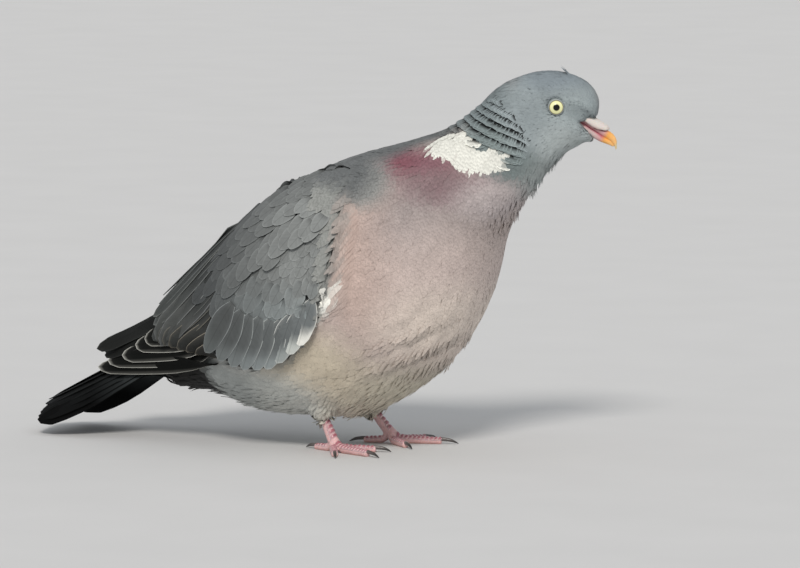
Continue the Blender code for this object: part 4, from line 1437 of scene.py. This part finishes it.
def lathe(centre, axis, profile, segments):
    """profile is (distance along the axis, radius) pairs."""
    first = unit(np.cross(axis, [0, 0, 1.0]))
    second = np.cross(axis, first)
    turn = np.linspace(0, 2 * math.pi, segments, endpoint=False)
    ring = first * np.cos(turn)[:, None] + second * np.sin(turn)[:, None]
    points = [centre + axis * d + ring * r for d, r in profile]
    faces = []
    for i in range(len(profile) - 1):
        for j in range(segments):
            k = (j + 1) % segments
            faces.append((i * segments + j, i * segments + k, (i + 1) * segments + k, (i + 1) * segments + j))
    return np.concatenate(points), faces


# %% Eyeballs and lids
PUPIL, IRIS = 1.8, 4.0
BALL_RING, LID_RING, LID_ROWS = 48, 64, 9
LID_FROM, LID_WIDE = math.radians(48.5), math.radians(13)
BLACK, STRAW, STRAW_INNER, STRAW_OUTER, IRIS_EDGE, WHITE_OF_EYE = cards(
    "060606", "d2d19a", "efeeb8", "c4bd80", "3a2a20", "8d9595"
)
LID_INNER, LID_GREY = cards("6b5a50", "9fa6a7")


def make_ball(side, centre, axis):
    angles = np.radians(np.concatenate([np.arange(1, 60, 1.5), np.arange(60, 180, 8)]))
    profile = [(eye_radius * math.cos(v), eye_radius * math.sin(v)) for v in angles]
    ball, faces = lathe(centre, axis, profile, BALL_RING)
    faces += [tuple(range(BALL_RING))[::-1], tuple(range(len(ball) - BALL_RING, len(ball)))]
    out = np.repeat(np.where(angles > math.pi / 2, eye_radius, eye_radius * np.sin(angles)), BALL_RING)
    tones = blend(BLACK, STRAW, (out - PUPIL) / 0.18)
    tones = blend(tones, STRAW_INNER, (out - PUPIL - 0.2) / 0.4)
    tones = blend(tones, STRAW_OUTER, (out - IRIS + 0.5) / 0.4)
    tones = blend(tones, IRIS_EDGE, (out - IRIS + 0.22) / 0.25)
    tones = blend(tones, WHITE_OF_EYE, (out - IRIS - 0.25) / 0.2)
    dress(f"eyeball_{side}", closed_mesh("eyeball", ball, faces), tones, wet_eye, [f"eye_{side}"])


def make_lid(side, centre, axis):
    """A ring that stands proud of the ball, with its back sunk in the face, crinkled a little."""
    profile = []
    for share in np.linspace(0, 1, LID_ROWS):
        angle = LID_FROM + share * LID_WIDE
        reach = eye_radius + 0.12 + 0.14 * math.sin(math.pi * min(share * 1.1 + 0.1, 1))
        profile.append((reach * math.cos(angle), reach * math.sin(angle)))
    profile += [(d - 0.5, r - 0.25) for d, r in profile[::-2]]
    ring, faces = lathe(centre, axis, profile + profile[:1], LID_RING)
    crinkle = draw.normal(0, 0.04, (len(ring), 1))
    crinkle[-LID_RING:] = crinkle[:LID_RING]
    ring = ring + unit(ring - centre) * crinkle
    shares = np.concatenate([np.linspace(0, 1, LID_ROWS), np.ones(len(profile) + 1 - LID_ROWS)])
    tones = blend(LID_INNER, LID_GREY, (np.repeat(shares, LID_RING) - 0.02) / 0.2)
    dress(f"eyelid_{side}", closed_mesh("lid", ring, faces), tones, lid_skin, [f"eye_{side}"])


for side, centre in (("right", eye_right), ("left", eye_left)):
    gaze = unit(unit(centre - EYES) + 0.12 * HEAD_AHEAD + np.array([0, 0, 0.02]))
    make_ball(side, centre, gaze)
    make_lid(side, centre, gaze)

# %% [markdown]
# ## Feet
# A pigeon's foot is soft red skin. Horny plates, the scutes, lie across the front of the shank
# and the top of each toe, with paler skin showing between them. Each plate is its own small
# shield, set on the foot where rays from the middle of the toe come out through the skin.

# %% One scute, and the ways they go along
foot_skin = bare("pebbled_bare_foot_skin", 0.6, 0.1, 0.8, 0.12, 0.10, 0.1)
scute_horn = bare("thin_horny_scute", 0.42, 0.2, 1.0, 0.05, 0.10)
claw_horn = bare("worn_dark_claw_horn", 0.35, 0.3, 0.8, 0.04, 0.15)
TOES = ("middle", "inner", "outer", "hind")
ANKLES = {"right": (22.1, -25.0), "left": (35.1, 25.0)}
FOOT_RED, FOOT_PALE, SOLE, SCUTE_EDGE = cards("b8707c", "d9b0b0", "cf9a8c", "ddc4c6")
CLAW_BASE, CLAW_TIP = cards("6b6361", "2f2b2a")
SCUTE_ROWS, SCUTE_COLUMNS = 5, 9
TOE_PITCH, SHANK_PITCH = 2.5, 3.0
TOE_REACH, SHANK_REACH = math.radians(74), math.radians(82)  # how far round the toe or shank a plate goes


def node_points(name):
    return np.array([v.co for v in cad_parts[name].data.vertices]) / MM


def scute_paths(side):
    """Start, end, the way plates face, their pitch and their reach, for each toe and the shank."""
    ankle = np.array([*ANKLES[side], 3.0])
    paths = []
    for toe in TOES:
        claw = node_points(f"claw_{toe}_{side}")
        end = claw[np.linalg.norm((claw - ankle)[:, :2], axis=1).argmin()]
        start = ankle + (end - ankle) * (0.12 if toe == "middle" else 0.25)
        start, end = start * [1, 1, 0] + [0, 0, 2.0], end * [1, 1, 0] + [0, 0, 1.6]
        paths.append((start, end, np.array([0, 0, 1.0]), TOE_PITCH, TOE_REACH))
    foot = node_points(f"foot_{side}")
    hock = foot[foot[:, 2] > foot[:, 2].max() - 1.5].mean(0)
    front = np.array([1.0, 0.15 * np.sign(ankle[1]), 0.0])
    return paths + [(ankle + [0, 0, 4.0], hock, front, SHANK_PITCH, SHANK_REACH)]


def scute(tree, middle, run, front, pitch, reach):
    """A shield-shaped plate as points and colours: its top, then its underside."""
    beside = np.cross(run, front)
    sheet, shade = np.zeros((2, SCUTE_ROWS, SCUTE_COLUMNS, 3))
    for i, share in enumerate(np.linspace(0, 1, SCUTE_ROWS)):
        for j, a in enumerate(np.linspace(-reach, reach, SCUTE_COLUMNS)):
            edge = max(abs(share * 2 - 1), abs(a / reach)) ** 3
            bend = 0.35 * pitch * (1 - (a / reach) ** 2)
            core = middle + run * (share * pitch * 0.86 + bend - 0.2 * pitch)
            ray = front * math.cos(a) + beside * math.sin(a)
            hit = tree.ray_cast(Vector(core), Vector(ray))
            skin_at = np.array(hit[0]) if hit[0] is not None else core + ray * 2
            sheet[i, j] = skin_at + ray * (0.34 * (1 - edge) + 0.06)
            shade[i, j] = FOOT_RED * 0.8 + (SCUTE_EDGE - FOOT_RED * 0.8) * edge**1.5
    under = sheet - (sheet - middle) * 0.12
    return np.concatenate([sheet, under]).reshape(-1, 3), np.concatenate([shade, shade]).reshape(-1, 3)


# %% Feet, scutes and claws
def make_scutes(side):
    tree = tree_of([f"foot_{side}"])
    plates = []
    for start, end, front, pitch, reach in scute_paths(side):
        length = np.linalg.norm(end - start)
        run = (end - start) / length
        front = unit(front - run * (front @ run))
        for k in range(int(length / pitch)):
            plates.append(scute(tree, start + run * (k + 0.12) * pitch, run, front, pitch, reach))
    points, tones = (np.concatenate(rows) for rows in zip(*plates))
    first = np.arange(len(plates)) * SCUTE_ROWS * SCUTE_COLUMNS * 2
    faces = sheet_faces(SCUTE_ROWS, SCUTE_COLUMNS, True)[None] + first[:, None, None]
    mesh = closed_mesh("scutes", points, faces.reshape(-1, 4).tolist())
    dress(f"foot_scutes_{side}", mesh, tones, scute_horn, [f"foot_{side}"])


def shape_foot(co, normal):
    under = ramp(co[:, 2], 2, 0) * np.clip(-normal[:, 2], 0, 1)
    return co, blend(FOOT_PALE, SOLE, under)


def shape_claw(side):
    ankle = np.array([*ANKLES[side], 2.0])

    def shape(co, normal):
        out = np.linalg.norm(co - ankle, axis=1)
        share = (out - out.min()) / (out.max() - out.min())
        co = co + unit(ankle - co) * (3.0 * ramp(share, 0.5, 0))[:, None]
        return co, blend(CLAW_BASE, CLAW_TIP, share * 1.4)

    return shape


for side in ("right", "left"):
    fine_copy(f"foot_skin_{side}", [f"foot_{side}"], 0.45, 4, shape_foot, foot_skin)
    make_scutes(side)
    for toe in TOES:
        node = f"claw_{toe}_{side}"
        fine_copy(node.replace("claw", "claw_horn"), [node], 0.22, 3, shape_claw(side), claw_horn)

# %% [markdown]
# ## The studio
# A pale floor and soft light, as in a museum's case: one broad lamp above the bird on its right
# side, a little ahead of it, and a pale surround that fills the shadows.

# %% Floor
REACH = 15  # metres
floor_mesh = bpy.data.meshes.new("floor")
corners = [(-REACH, -REACH, 0), (REACH, -REACH, 0), (REACH, REACH, 0), (-REACH, REACH, 0)]
floor_mesh.from_pydata(corners, [], [(0, 1, 2, 3)])
floor = link("floor", floor_mesh)
paper, paper_out = blank("matt_paper_backdrop")
grain = add(paper, "ShaderNodeTexNoise", {"Scale": 400.0})
tint = add(paper, "ShaderNodeMapRange", {"Value": grain.outputs["Fac"], "To Min": 0.60, "To Max": 0.64})
matt = add(paper, "ShaderNodeBsdfPrincipled", {"Base Color": tint.outputs[0], "Roughness": 0.9})
finish_with(paper, paper_out, matt)
floor_mesh.materials.append(paper)

# %% Light and camera
AIM = Vector((0.0537, 0, 0.0976))
SURROUND, SURROUND_POWER = "eef1f4", 0.62
LAMP_CARD, LAMP_POWER, LAMP_SPREAD, LAMP_FROM = "fffaf4", 2.1, 14, (20, 40)
VIEW, DISTANCE = (25, 6), 3.9
LENS, SENSOR, FAR = 300, 36, 100


def aimed(name, data, azimuth, elevation, distance):
    """An object that looks at the bird from that side, height and distance, in degrees and metres."""
    obj = link(name, data)
    a, e = math.radians(azimuth), math.radians(elevation)
    back = Vector((math.sin(a) * math.cos(e), -math.cos(a) * math.cos(e), math.sin(e)))
    obj.location = AIM + back * distance
    obj.rotation_mode = "QUATERNION"
    obj.rotation_quaternion = back.to_track_quat("Z", "Y")
    return obj


world = bpy.data.worlds.new("studio")
bpy.context.scene.world = world
world.use_nodes = True
surround = world.node_tree.nodes["Background"]
surround.inputs["Color"].default_value = (*linear(SURROUND), 1)
surround.inputs["Strength"].default_value = SURROUND_POWER
lamp = bpy.data.lights.new("key", "SUN")
lamp.angle, lamp.energy, lamp.color = math.radians(LAMP_SPREAD), LAMP_POWER, linear(LAMP_CARD)
aimed("key", lamp, *LAMP_FROM, 1)
camera_data = bpy.data.cameras.new("camera")
camera_data.lens, camera_data.sensor_width, camera_data.clip_end = LENS, SENSOR, FAR
bpy.context.scene.camera = aimed("camera", camera_data, *VIEW, DISTANCE)
bpy.context.scene.view_settings.view_transform = "Standard"
